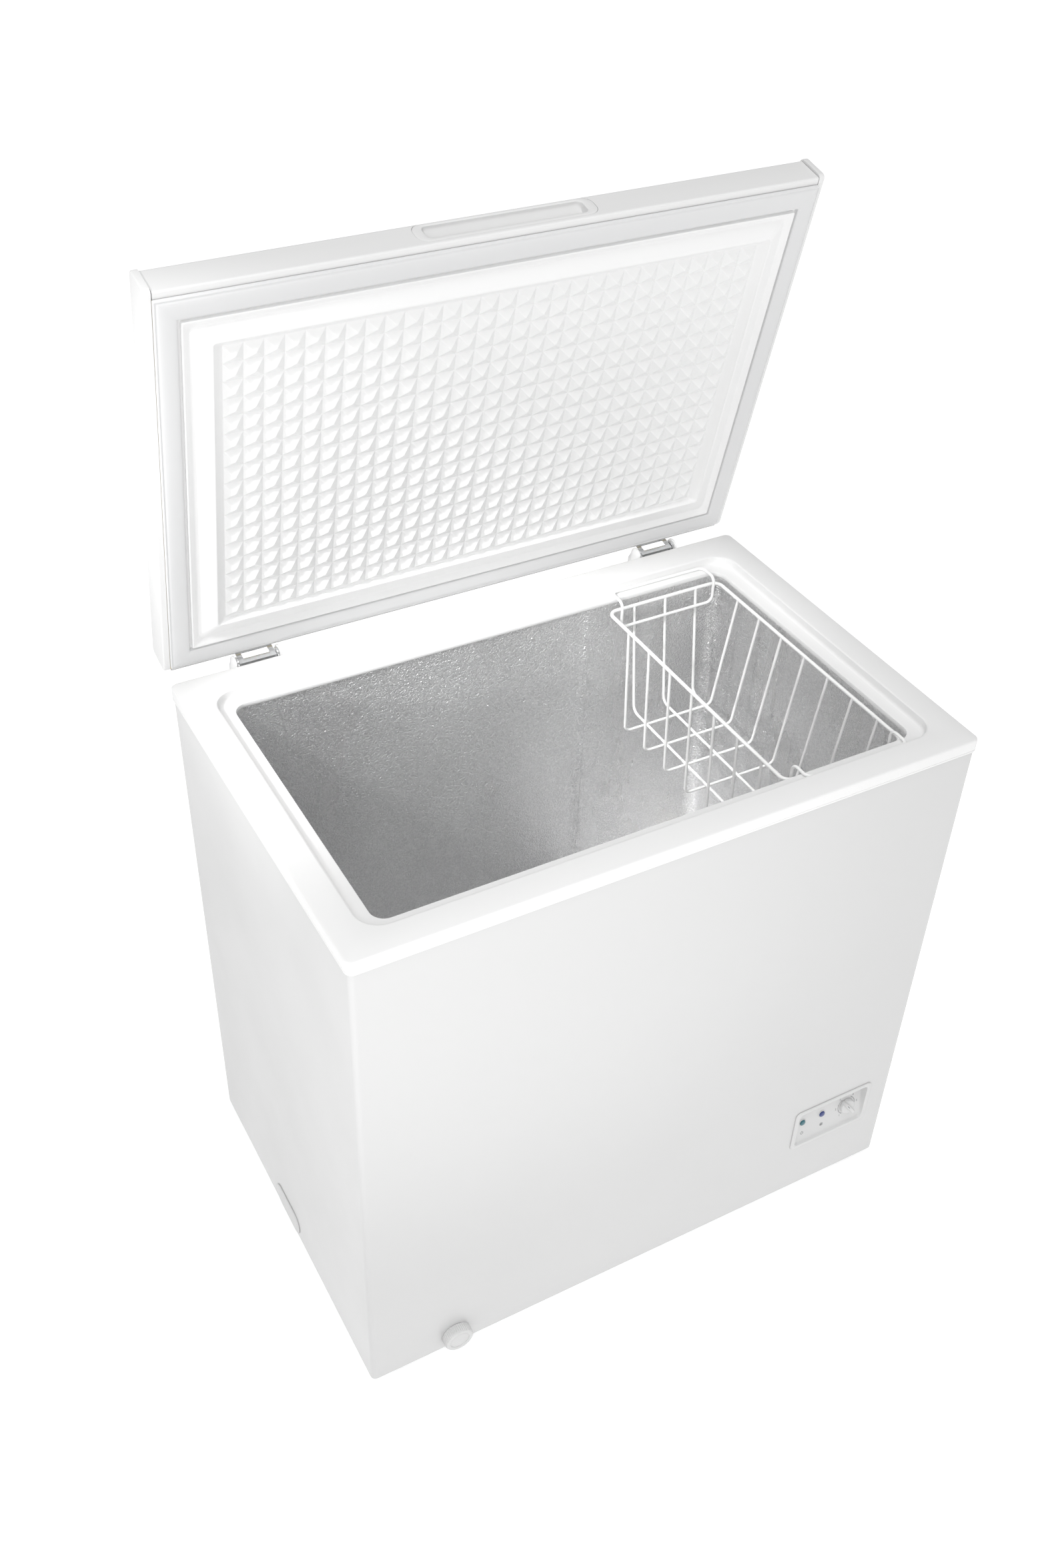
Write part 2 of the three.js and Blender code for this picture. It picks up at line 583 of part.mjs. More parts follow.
// Points of an arc about the hinge axis, in Y and Z, from one angle to another in degrees.
function axisArc(radius, from, to, steps) {
  return Array.from({ length: steps + 1 }, (_, i) => {
    const a = ((from + ((to - from) * i) / steps) * Math.PI) / 180;
    return [HINGE.y + radius * Math.cos(a), HINGE.z + radius * Math.sin(a)];
  });
}

// Channel on the cabinet's back with two ears that carry the pin.
function hingeBase(x) {
  const back = CABINET.halfDepth + GAP;
  const { halfWidth: w } = HINGE;
  const { bottom, top, thick, ear, earRadius } = HINGE_PLATE;
  const underRim = RIM.bottom - 1.1;
  const side = polygon([
    [back, bottom], [276, bottom], [281, bottom + 13], ...axisArc(earRadius, 0, 180, 8),
    [RIM.halfDepth + 0.5, underRim], [back, underRim],
  ]);
  const channel = join(
    alongX(side, x - w, x - w + ear),
    alongX(side, x + w - ear, x + w),
    block(x - w, x + w, back, back + thick, bottom, top),
  );
  return cut(channel, pinHole(x - w - 5, x + w + 5));
}

function hingePin(x) {
  const half = HINGE.halfWidth + GAP;
  return alongX(disc(HINGE.y, HINGE.z, HINGE.pinRadius, 16), x - half, x + half);
}

// White cover over the channel: two cheeks and a rear wall.
function hingeCover(x) {
  const front = CABINET.halfDepth + GAP;
  const { bottom, top, back, cheek, radius } = HINGE_COVER;
  const inner = HINGE.halfWidth + 0.8;
  const outer = inner + cheek;
  const side = polygon([
    [front, bottom], [back, bottom], [back, top - 2], ...axisArc(radius, 0, 141, 7),
    [RIM.halfDepth + 0.5, top], [front, top],
  ]);
  return join(
    alongX(side, x - outer, x - inner),
    alongX(side, x + inner, x + outer),
    block(x - outer, x + outer, back - cheek, back, bottom, top - 8),
  );
}

// Bracket on the lid's rear face, drawn with the lid shut; its web has a window beside the pin.
function hingeArm(x) {
  const face = LID.back + GAP;
  const { halfWidth: w, bottom, top, thick, earRadius } = HINGE_ARM;
  const side = polygon([
    [face, bottom], ...axisArc(earRadius, 235, 360, 6), [face + 4.2, 798], [face, 798],
  ]);
  const window = ARM_WINDOW;
  const web = cut(
    block(x - w, x + w, face, face + thick, bottom, top),
    block(x - window.halfWidth, x + window.halfWidth, face - 1, face + 4, window.bottom, window.top),
  );
  const ears = [alongX(side, x - w, x - w + thick), alongX(side, x + w - thick, x + w)];
  return cut(join(web, ...ears), pinHole(x - w - 5, x + w + 5));
}

// ---------------------------------------------------------------- lid, drawn shut

function lidTopPanel() {
  const x = LID.halfWidth - LID.cap - GAP;
  const front = LID_FACE.back + GAP;
  const { back, bottom, top } = LID;
  const profile = polygon([
    [front, bottom + 0.4], [front + SHEET, bottom + 0.4], [front + SHEET, top - SHEET],
    [back - SHEET, top - SHEET], [back - SHEET, bottom + 0.4], [back, bottom + 0.4],
    [back, top - 1.5], [back - 1.5, top], [front, top],
  ]);
  return cut(alongX(profile, -x, x), handleSpace());
}

function handleSpace() {
  const { halfWidth: w, bottom, top, depth } = HANDLE;
  return block(-w - GAP, w + GAP, LID_FACE.front - 5, LID_FACE.front + depth + GAP, bottom - GAP, top + GAP);
}

function lidFrontTrim() {
  const x = LID.halfWidth - LID.cap - GAP;
  const { front, back, top } = LID_FACE;
  const bottom = LID.bottom + 0.4;
  const profile = polygon([
    [front + 2, bottom], [back, bottom], [back, top], [front + 5, top], [front + 1.5, top - 1.5],
    [front, top - 5], [front, bottom + 2],
  ]);
  return cut(alongX(profile, -x, x), handleSpace());
}

// Grip: a surround with a deep finger pocket whose roof is the pulling edge.
function lidHandleInsert() {
  const { halfWidth: w, bottom, top, depth, pocketHalf, lip } = HANDLE;
  const front = LID_FACE.front;
  const body = block(-w, w, front, front + depth, bottom, top);
  const pocket = alongX(polygon([
    [front - 1, bottom + lip], [front + 6, bottom + lip], [front + depth - 3, bottom + lip + 4],
    [front + depth - 3, top - 4], [front - 1, top - 4],
  ]), -pocketHalf, pocketHalf);
  return cut(body, pocket);
}

function lidSideTrim(sign) {
  const profile = outline(LID.front, LID.back, LID.bottom, LID.top, 5);
  const inner = LID.halfWidth - LID.cap;
  return sign > 0 ? alongX(profile, inner, LID.halfWidth) : alongX(profile, -LID.halfWidth, -inner);
}

// A tray pressed from plastic sheet: a flat border and a raised plateau that drops into the mouth.
function lidInnerLiner() {
  const x = LID.halfWidth - LID.cap - 2 * GAP;
  const wall = 2;
  const plateau = (inset, bottom) => {
    const { halfWidth, halfDepth, slope } = PLATEAU;
    const shape = openingOutline(halfWidth - inset, halfDepth - inset, 18);
    const bevel = { bevelEnabled: true, bevelThickness: slope, bevelSize: slope + 8, bevelSegments: 1 };
    const raised = new THREE.ExtrudeGeometry(shape, { depth: 1, curveSegments: 3, ...bevel });
    const slab = raised.translate(0, 0, bottom + slope);
    return common(slab, block(-500, 500, -400, 400, bottom, bottom + slope + 0.4));
  };
  const front = LID_FACE.back + SHEET + 2 * GAP;
  const plate = block(-x, x, front, LID.back - SHEET - GAP, LID.bottom, LID.bottom + wall);
  const hollow = plateau(wall, PLATEAU.bottom + wall);
  return cut(join(plate, plateau(0, PLATEAU.bottom)), hollow, hollow.clone().translate(0, 0, 1.5));
}

function lidGasket() {
  const { halfWidth: w, front, back, bottom, width, corner } = GASKET;
  const hole = outline(width - w, w - width, front + width + 1, back - width - 2, 2 * corner);
  return frameRing(outline(-w, w, front, back, corner), hole, bottom, LID.bottom - GAP);
}

function lidFoam() {
  const x = LID.halfWidth - LID.cap - 3 * GAP;
  const base = LID.bottom + 2 + GAP;
  const front = LID_FACE.back + SHEET + 2 * GAP;
  return cut(block(-x, x, front, LID.back - SHEET - GAP, base, LID.top - SHEET - GAP), handleSpace());
}

function addHingesAndLid(root) {
  const hinged = new THREE.Group();
  hinged.position.set(0, HINGE.y, HINGE.z);
  hinged.rotation.x = THREE.MathUtils.degToRad(-HINGE.openAngle);
  root.add(hinged);
  const lid = new THREE.Group();
  lid.position.set(0, -HINGE.y, -HINGE.z);
  hinged.add(lid);

  for (const [side, sign] of SIDES) {
    add(root, `hinge_base_${side}`, hingeBase(sign * HINGE.x), GALVANISED);
    add(root, `hinge_pin_${side}`, hingePin(sign * HINGE.x), CHROME);
    add(root, `hinge_cover_${side}`, hingeCover(sign * HINGE.x), WHITE_PLASTIC);
    add(lid, `hinge_arm_${side}`, hingeArm(sign * HINGE.x), CHROME);
    add(lid, `lid_side_trim_${side}`, lidSideTrim(sign), WHITE_PLASTIC);
  }
  add(lid, "lid_top_panel", lidTopPanel(), PAINT);
  add(lid, "lid_front_trim", lidFrontTrim(), WHITE_PLASTIC);
  add(lid, "lid_handle_insert", lidHandleInsert(), WHITE_PLASTIC);
  add(lid, "lid_inner_liner", lidInnerLiner(), WHITE_PLASTIC);
  add(lid, "lid_gasket", lidGasket(), SEAL);
  add(lid, "lid_foam", lidFoam(), INSULATION);
}

// ---------------------------------------------------------------- wire basket

const basketY = (side, half) => OPENING.centreY + side * half;

function basketRim() {
  const { left, right, halfDepth: d, rimZ, rimWire } = BASKET;
  const corners = [[left, -1], [right, -1], [right, 1], [left, 1]];
  return ring(corners.map(([x, side]) => V3(x, basketY(side, d), rimZ)), rimWire, 12, 8);
}

// One wire down the right side, across the floor and up the left side.
function crossWire(y) {
  const { left, right, rimZ, rimWire, floorZ, wire } = BASKET;
  const top = rimZ - rimWire - 0.4;
  const corners = [
    V3(right - 1, y, top), V3(BASKET_FLOOR.right, y, floorZ),
    V3(BASKET_FLOOR.left, y, floorZ), V3(left + 1, y, top),
  ];
  return rod(corners, wire, 8);
}

// One wire down the back, along the floor on top of the cross wires and up the front.
function longWire(x) {
  const { halfDepth: d, rimZ, rimWire, floorZ, wire } = BASKET;
  const top = rimZ - rimWire - 0.4;
  const z = floorZ + 2 * wire + 0.4;
  const low = BASKET_FLOOR.halfDepth;
  const corners = [
    V3(x, basketY(1, d - 1), top), V3(x, basketY(1, low), z),
    V3(x, basketY(-1, low), z), V3(x, basketY(-1, d - 1), top),
  ];
  return rod(corners, wire, 14);
}

// A loop that stands inside the end of the basket and folds over the ledge.
function basketHook(side) {
  const { left, right, inner, outer, bottom, wire } = HOOK;
  const high = LEDGE.top + GAP + wire;
  const yIn = basketY(side, inner);
  const yOut = basketY(side, outer);
  const corners = [
    V3(left, yIn, bottom), V3(right, yIn, bottom), V3(right, yIn, high),
    V3(right, yOut, high), V3(left, yOut, high), V3(left, yIn, high),
  ];
  return ring(corners, wire, 9, 8);
}

function addBasket(root) {
  add(root, "basket_rim", basketRim(), COATED_WIRE);
  for (let i = 0; i < CROSS.count; i += 1) {
    const y = CROSS.centreY + (i - (CROSS.count - 1) / 2) * CROSS.pitch;
    add(root, `basket_cross_wire_${i + 1}`, crossWire(y), COATED_WIRE);
  }
  for (let i = 0; i < LONG.count; i += 1) {
    const x = LONG.centreX + (i - (LONG.count - 1) / 2) * LONG.pitch;
    add(root, `basket_long_wire_${i + 1}`, longWire(x), COATED_WIRE);
  }
  add(root, "basket_hook_rear", basketHook(1), COATED_WIRE);
  add(root, "basket_hook_front", basketHook(-1), COATED_WIRE);
}

// ---------------------------------------------------------------- assembly

const freezer = new THREE.Group();
addCabinet(freezer);
addRefrigeration(freezer);
addControls(freezer);
addHingesAndLid(freezer);
addBasket(freezer);

// The origin is under the middle of the whole outline, with the lid standing open.
const extent = new THREE.Box3().setFromObject(freezer, true);
freezer.position.y = -(extent.min.y + extent.max.y) / 2;

export default freezer;
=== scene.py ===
"""Looks of the chest freezer: detailed meshes, procedural materials, studio light and camera.

Lengths in this script are millimetres in the cabinet's own coordinates (x across, y back from the cabinet's
middle, z up from the floor) unless a name says otherwise; CAB and LID place them in the frame, in metres.
"""
import json
import math

import bmesh
import bpy
from mathutils import Matrix, Vector, noise


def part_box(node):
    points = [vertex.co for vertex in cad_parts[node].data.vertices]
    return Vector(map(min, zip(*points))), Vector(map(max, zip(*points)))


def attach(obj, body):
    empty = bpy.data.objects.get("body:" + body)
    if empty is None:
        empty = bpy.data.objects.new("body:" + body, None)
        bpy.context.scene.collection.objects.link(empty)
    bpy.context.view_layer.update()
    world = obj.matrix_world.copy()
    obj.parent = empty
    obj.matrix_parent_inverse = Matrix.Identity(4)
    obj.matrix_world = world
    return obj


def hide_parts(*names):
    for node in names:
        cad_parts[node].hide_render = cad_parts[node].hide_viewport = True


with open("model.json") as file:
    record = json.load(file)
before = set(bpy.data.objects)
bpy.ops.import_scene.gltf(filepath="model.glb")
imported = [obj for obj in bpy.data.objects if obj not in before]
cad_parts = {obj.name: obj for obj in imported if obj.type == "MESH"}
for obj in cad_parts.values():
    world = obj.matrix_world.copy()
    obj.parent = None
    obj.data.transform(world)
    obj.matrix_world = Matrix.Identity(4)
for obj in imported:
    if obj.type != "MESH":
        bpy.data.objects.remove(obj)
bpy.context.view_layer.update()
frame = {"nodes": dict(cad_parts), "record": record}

SHEET = 1.2
FACING_BACK = Matrix.Rotation(math.radians(-90), 4, "X")

# ------------------------------------------------------------------ places taken from the frame

RIM_LOW, RIM_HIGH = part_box("top_rim")
MID_Y = (RIM_LOW[1] + RIM_HIGH[1]) / 2
CAB = Matrix.Translation((0, MID_Y, 0)) @ Matrix.Scale(0.001, 4)

JOINTS = {joint["name"]: joint for joint in frame["record"]["behaviour"]["joints"]}
HINGE_POS = Vector(JOINTS["lid_hinge"]["pos_m"])
OPEN_ANGLE = math.radians(JOINTS["lid_hinge"]["range_deg"][1])
LID = (Matrix.Translation(HINGE_POS) @ Matrix.Rotation(-OPEN_ANGLE, 4, "X")
       @ Matrix.Translation(-HINGE_POS) @ CAB)


def in_cabinet(node):
    """A node's box in the cabinet's millimetres: lowest and highest corner."""
    low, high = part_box(node)
    inverse = CAB.inverted()
    return inverse @ Vector(low), inverse @ Vector(high)


RIM_TOP = RIM_HIGH[2] * 1000
RIM_HALF_X = RIM_HIGH[0] * 1000
RIM_HALF_Y = (RIM_HIGH[1] - RIM_LOW[1]) * 500
SHELL_LOW, SHELL_HIGH = in_cabinet("cabinet_shell")
BODY_HALF_X = SHELL_HIGH.x
BODY_HALF_Y = (SHELL_HIGH.y - SHELL_LOW.y) / 2
LINER_LOW, LINER_HIGH = in_cabinet("liner_wall")
OPENING_Y = (LINER_LOW.y + LINER_HIGH.y) / 2
MOUTH = (LINER_HIGH.x - 3.5, (LINER_HIGH.y - LINER_LOW.y) / 2 - 3.5, 17)
LEDGE_Z = RIM_TOP - 11.5
LEDGE = (MOUTH[0] + 19.6, MOUTH[1] + 17, 28)

LID_BOTTOM, LID_TOP = 780.6, 821.0
LID_FRONT, LID_FACE, LID_BACK = -265.5, -263.0, 265.0
LID_HALF, LID_SHEET = 402.9, 393.8

# ------------------------------------------------------------------ camera

CAMERA_MM = (-801.7, -1285.2, 1899.5)
CAMERA_TURN = (50.69, -1.56, -28.65)
FOCAL_MM = 36.55

camera_data = bpy.data.cameras.new("camera")
camera_data.lens = FOCAL_MM
camera_data.sensor_width = 36
camera_data.sensor_fit = "AUTO"
camera_data.clip_end = 100
camera = bpy.data.objects.new("camera", camera_data)
bpy.context.scene.collection.objects.link(camera)
camera.location = CAB @ Vector(CAMERA_MM)
camera.rotation_euler = [math.radians(a) for a in CAMERA_TURN]
bpy.context.scene.camera = camera

# ------------------------------------------------------------------ materials


def material(name, color, roughness, metallic=0.0, **sockets):
    """A Principled material; sockets are further inputs by name, with _ for a space."""
    made = bpy.data.materials.new(name)
    made.use_nodes = True
    shader = made.node_tree.nodes["Principled BSDF"]
    shader.inputs["Base Color"].default_value = (*color, 1)
    shader.inputs["Roughness"].default_value = roughness
    shader.inputs["Metallic"].default_value = metallic
    for key, value in sockets.items():
        shader.inputs[key.replace("_", " ")].default_value = value
    return made


def texture(made, kind, scale, stretch=(1, 1, 1), **settings):
    """A noise, voronoi or wave texture on the object's own coordinates (metres)."""
    nodes, links = made.node_tree.nodes, made.node_tree.links
    place = nodes.new("ShaderNodeTexCoord")
    mapping = nodes.new("ShaderNodeMapping")
    mapping.inputs["Scale"].default_value = stretch
    links.new(place.outputs["Object"], mapping.inputs["Vector"])
    pattern = nodes.new(kind)
    pattern.inputs["Scale"].default_value = scale
    for key, value in settings.items():
        if key in pattern.inputs:
            pattern.inputs[key].default_value = value
        else:
            setattr(pattern, key, value)
    links.new(mapping.outputs["Vector"], pattern.inputs["Vector"])
    return pattern.outputs[0]


def spread(made, value, low, high, start=0.3, end=0.7):
    """Maps a texture's value from start..end onto low..high."""
    node = made.node_tree.nodes.new("ShaderNodeMapRange")
    for key, number in (("From Min", start), ("From Max", end), ("To Min", low), ("To Max", high)):
        node.inputs[key].default_value = number
    made.node_tree.links.new(value, node.inputs["Value"])
    return node.outputs["Result"]


def tint(made, value, dark, light):
    """Base colour that runs between two colours with a value of 0 to 1."""
    ramp = made.node_tree.nodes.new("ShaderNodeValToRGB")
    ramp.color_ramp.elements[0].color = (*dark, 1)
    ramp.color_ramp.elements[1].color = (*light, 1)
    made.node_tree.links.new(value, ramp.inputs["Fac"])
    drive(made, "Base Color", ramp.outputs["Color"])


def drive(made, socket, value):
    made.node_tree.links.new(value, made.node_tree.nodes["Principled BSDF"].inputs[socket])


def bump(made, value, distance, strength=1.0, under=None):
    """Adds relief of a given height in metres; under is an earlier bump's normal."""
    node = made.node_tree.nodes.new("ShaderNodeBump")
    node.inputs["Strength"].default_value = strength
    node.inputs["Distance"].default_value = distance
    made.node_tree.links.new(value, node.inputs["Height"])
    if under is not None:
        made.node_tree.links.new(under, node.inputs["Normal"])
    drive(made, "Normal", node.outputs["Normal"])
    return node.outputs["Normal"]


def painted_steel():
    made = material("white_paint", (0.6, 0.6, 0.599), 0.36, Coat_Weight=0.25, Coat_Roughness=0.2)
    grain = texture(made, "ShaderNodeTexNoise", 420, Detail=3)
    drive(made, "Roughness", spread(made, texture(made, "ShaderNodeTexNoise", 7, Detail=4), 0.32, 0.42))
    bump(made, grain, 0.00002, 0.5)
    return made


def moulded_plastic(name, color, roughness):
    made = material(name, color, roughness, IOR=1.47)
    fine = texture(made, "ShaderNodeTexNoise", 1500, Detail=2)
    cloud = texture(made, "ShaderNodeTexNoise", 12, Detail=5)
    drive(made, "Roughness", spread(made, cloud, roughness - 0.05, roughness + 0.07))
    bump(made, fine, 0.00001, 0.4)
    return made


def stucco_aluminium():
    """Embossed aluminium sheet: short crinkled ridges a few millimetres long over a gloss that varies in soft
    clouds. Its colour is a random cloudy tone plus painted glints: the ridge crests are painted lighter.
    """
    made = material("stucco_aluminium", (0.9, 0.9, 0.9), 0.3, 0.8)
    ridges = texture(made, "ShaderNodeTexNoise", 390, Detail=1.0, Roughness=0.5, Distortion=0.9)
    grain = texture(made, "ShaderNodeTexNoise", 900, Detail=2, Roughness=0.6)
    cloud = texture(made, "ShaderNodeTexNoise", 7, (1, 1, 0.4), Detail=4, Roughness=0.55)
    tone_and_painted_glints = made.node_tree.nodes.new("ShaderNodeMath")
    tone_and_painted_glints.operation = "MULTIPLY_ADD"
    tone_and_painted_glints.inputs[1].default_value = 0.45
    made.node_tree.links.new(spread(made, cloud, 0, 1, 0.3, 0.7), tone_and_painted_glints.inputs[0])
    # The ridge noise also lightens the colour on the crests: painted glints.
    made.node_tree.links.new(spread(made, ridges, 0, 0.55, 0.4, 0.66), tone_and_painted_glints.inputs[2])
    tint(made, tone_and_painted_glints.outputs["Value"], (0.71, 0.71, 0.712), (0.94, 0.94, 0.942))
    drive(made, "Roughness", spread(made, cloud, 0.24, 0.36))
    lower = bump(made, spread(made, ridges, 0, 1, 0.36, 0.64), 0.0006, 1.0)
    bump(made, grain, 0.0001, 0.5, lower)
    return made


def galvanised():
    made = material("galvanised_sheet", (0.6, 0.61, 0.62), 0.42, 0.9)
    spangle = texture(made, "ShaderNodeTexVoronoi", 130, feature="F1")
    tint(made, spread(made, spangle, 0, 1, 0.1, 0.8), (0.6, 0.607, 0.613), (0.66, 0.667, 0.673))
    drive(made, "Roughness", spread(made, texture(made, "ShaderNodeTexNoise", 40, Detail=4), 0.34, 0.5))
    bump(made, texture(made, "ShaderNodeTexNoise", 300, Detail=2), 0.00003, 0.4)
    return made


def plated_steel():
    made = material("plated_steel", (0.9, 0.905, 0.91), 0.14, 0.95)
    streaks = texture(made, "ShaderNodeTexNoise", 160, (1, 1, 0.1), Detail=3)
    drive(made, "Roughness", spread(made, streaks, 0.1, 0.24))
    bump(made, texture(made, "ShaderNodeTexNoise", 900, (1, 0.1, 0.1)), 0.00001, 0.3)
    return made


def copper_tube():
    made = material("copper_tube", (0.72, 0.4, 0.25), 0.32, 1.0)
    patina = texture(made, "ShaderNodeTexNoise", 30, Detail=4)
    tint(made, spread(made, patina, 0, 1), (0.55, 0.27, 0.15), (0.8, 0.47, 0.3))
    bump(made, texture(made, "ShaderNodeTexNoise", 500), 0.00002, 0.3)
    return made


def black_enamel():
    made = material("black_enamel", (0.02, 0.02, 0.022), 0.35, 0.0, Coat_Weight=0.4, Coat_Roughness=0.15)
    bump(made, texture(made, "ShaderNodeTexNoise", 500, Detail=3), 0.00003, 0.5)
    return made


def foam():
    made = material("insulation_foam", (0.8, 0.7, 0.42), 0.95)
    cells = texture(made, "ShaderNodeTexVoronoi", 700)
    stain = texture(made, "ShaderNodeTexNoise", 20, Detail=5)
    tint(made, spread(made, stain, 0, 1), (0.72, 0.6, 0.33), (0.86, 0.77, 0.5))
    bump(made, cells, 0.0004, 0.6)
    return made


def coated_wire():
    made = material("coated_wire", (0.9, 0.9, 0.895), 0.3, Coat_Weight=0.3, Coat_Roughness=0.15)
    bump(made, texture(made, "ShaderNodeTexNoise", 260, Detail=3), 0.00008, 0.35)
    return made


def seal_vinyl():
    made = material("seal_vinyl", (0.73, 0.732, 0.735), 0.55)
    bump(made, texture(made, "ShaderNodeTexNoise", 90, (0.3, 0.3, 1), Detail=4), 0.0002, 0.35)
    drive(made, "Roughness", spread(made, texture(made, "ShaderNodeTexNoise", 40), 0.5, 0.65))
    return made


def lamp_lens(name, color):
    made = material(name, color, 0.15, Emission_Strength=0.03, Coat_Weight=0.6, Coat_Roughness=0.05)
    made.node_tree.nodes["Principled BSDF"].inputs["Emission Color"].default_value = (*color, 1)
    bump(made, texture(made, "ShaderNodeTexVoronoi", 1800), 0.0001, 0.5)
    return made


def print_ink():
    made = material("print_ink", (0.16, 0.165, 0.17), 0.5)
    bump(made, texture(made, "ShaderNodeTexNoise", 2500), 0.00001, 0.3)
    return made


PAINT = painted_steel()
WHITE = moulded_plastic("white_plastic", (0.8, 0.8, 0.798), 0.38)
# Darker copy of the same white plastic for the upright parts on the front and the left side: painted shade
# for the lesser light those faces get.
SHADED_UPRIGHT_WHITE = moulded_plastic("white_plastic_painted_shade", (0.63, 0.63, 0.629), 0.4)
LINER_WHITE = moulded_plastic("liner_plastic", (0.89, 0.89, 0.888), 0.36)
BLACK = moulded_plastic("black_plastic", (0.03, 0.03, 0.033), 0.5)
STUCCO = stucco_aluminium()
ZINC = galvanised()
CHROME = plated_steel()
COPPER = copper_tube()
ENAMEL = black_enamel()
FOAM = foam()
WIRE = coated_wire()
SEAL = seal_vinyl()
GREEN = lamp_lens("green_lens", (0.004, 0.11, 0.14))
BLUE = lamp_lens("blue_lens", (0.012, 0.03, 0.17))
INK = print_ink()

# ------------------------------------------------------------------ mesh tools

SMOOTH_ANGLE = math.radians(32)


def finish_mesh(name, build, made, body, replaces=(), smooth=SMOOTH_ANGLE, bevel=0, segments=3):
    """Turns a bmesh in frame metres into a piece that rides on a body."""
    bmesh.ops.remove_doubles(build, verts=build.verts, dist=1e-7)
    bmesh.ops.recalc_face_normals(build, faces=build.faces)
    mesh = bpy.data.meshes.new(name)
    build.to_mesh(mesh)
    build.free()
    mesh.materials.append(made)
    for polygon in mesh.polygons:
        polygon.use_smooth = smooth > 0
    if smooth > 0:
        mesh.set_sharp_from_angle(angle=smooth)
    piece = bpy.data.objects.new(name, mesh)
    bpy.context.scene.collection.objects.link(piece)
    if bevel:
        modifier = piece.modifiers.new("edges", "BEVEL")
        modifier.width = bevel / 1000
        modifier.segments = segments
        modifier.limit_method = "ANGLE"
        modifier.angle_limit = math.radians(40)
        modifier.harden_normals = True
    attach(piece, body)
    if replaces:
        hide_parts(*replaces)
    return piece


def rectangle(hx, hy, r, cx=0.0, cy=0.0, n=8):
    """Points of a rounded rectangle, counter-clockwise, n steps to a corner."""
    points = []
    for sx, sy, start in ((1, -1, -90), (1, 1, 0), (-1, 1, 90), (-1, -1, 180)):
        for i in range(n + 1):
            a = math.radians(start + 90 * i / n)
            points.append((cx + sx * (hx - r) + r * math.cos(a), cy + sy * (hy - r) + r * math.sin(a)))
    return points


def level(z, *args, **kwargs):
    """A rounded rectangle lying at height z."""
    return [Vector((x, y, z)) for x, y in rectangle(*args, **kwargs)]


def upright(y, *args, **kwargs):
    """A rounded rectangle standing in the plane at depth y, seen from the front."""
    return [Vector((x, y, z)) for x, z in rectangle(*args, **kwargs)]


def sideways(x, *args, **kwargs):
    """A rounded rectangle standing in the plane at x, seen from the right."""
    return [Vector((x, y, z)) for y, z in rectangle(*args, **kwargs)]


def loft(loops, place=CAB, ring=False, build=None):
    """Skins loops of equal length; a ring joins the last to the first, otherwise both ends are capped."""
    build = build or bmesh.new()
    rows = [[build.verts.new(place @ point) for point in loop] for loop in loops]
    pairs = list(zip(rows, rows[1:])) + ([(rows[-1], rows[0])] if ring else [])
    for a, b in pairs:
        for i in range(len(a)):
            j = (i + 1) % len(a)
            build.faces.new((a[i], a[j], b[j], b[i]))
    if not ring:
        build.faces.new(rows[0][::-1])
        build.faces.new(rows[-1])
    return build


def rounded_path(corners, radius, steps=6, closed=False):
    """Corner points with each bend replaced by an arc of the given radius."""
    corners = [Vector(c) for c in corners]
    count = len(corners)
    points = []
    for i, corner in enumerate(corners):
        if not closed and i in (0, count - 1):
            points.append(corner)
            continue
        a = (corners[i - 1] - corner).normalized()
        b = (corners[(i + 1) % count] - corner).normalized()
        half = a.angle(b) / 2
        reach = min(radius / math.tan(half), 0.48 * min((corners[i - 1] - corner).length,
                                                        (corners[(i + 1) % count] - corner).length))
        r = reach * math.tan(half)
        centre = corner + (a + b).normalized() * (r / math.sin(half))
        start = corner + a * reach - centre
        end = corner + b * reach - centre
        turn, axis = start.angle(end), start.cross(end)
        for k in range(steps + 1):
            points.append(centre + Matrix.Rotation(turn * k / steps, 3, axis) @ start)
    return points


def sweep(points, radius, sides=12, place=CAB, closed=False, build=None):
    """A round wire along points given in millimetres, with rounded ends."""
    build = build or bmesh.new()
    count = len(points)
    tangents = []
    for i, point in enumerate(points):
        before = points[i - 1] if i or closed else point
        after = points[(i + 1) % count] if i < count - 1 or closed else point
        tangents.append((after - before).normalized())
    across = tangents[0].orthogonal().normalized()
    rings = []

    def ring_at(centre, tangent, r):
        side = tangent.cross(across).normalized()
        ring = []
        for k in range(sides):
            t = 2 * math.pi * k / sides
            point = centre + across * (r * math.cos(t)) + side * (r * math.sin(t))
            ring.append(build.verts.new(place @ point))
        return ring

    for i, (point, tangent) in enumerate(zip(points, tangents)):
        across = (across - tangent * across.dot(tangent)).normalized()
        tip, tip_radius = tangent * radius * 0.7, radius * 0.45
        if not closed and i == 0:
            rings.append(ring_at(point - tip, tangent, tip_radius))
        rings.append(ring_at(point, tangent, radius))
        if not closed and i == count - 1:
            rings.append(ring_at(point + tip, tangent, tip_radius))
    for a, b in zip(rings, rings[1:]):
        for i in range(sides):
            j = (i + 1) % sides
            build.faces.new((a[i], a[j], b[j], b[i]))
    if closed:
        first, last = rings[0], rings[-1]
        shift = min(range(sides), key=lambda s: (first[s].co - last[0].co).length)
        for i in range(sides):
            j = (i + 1) % sides
            build.faces.new((last[i], last[j], first[(j + shift) % sides], first[(i + shift) % sides]))
    else:
        build.faces.new(rings[0][::-1])
        build.faces.new(rings[-1])
    return build


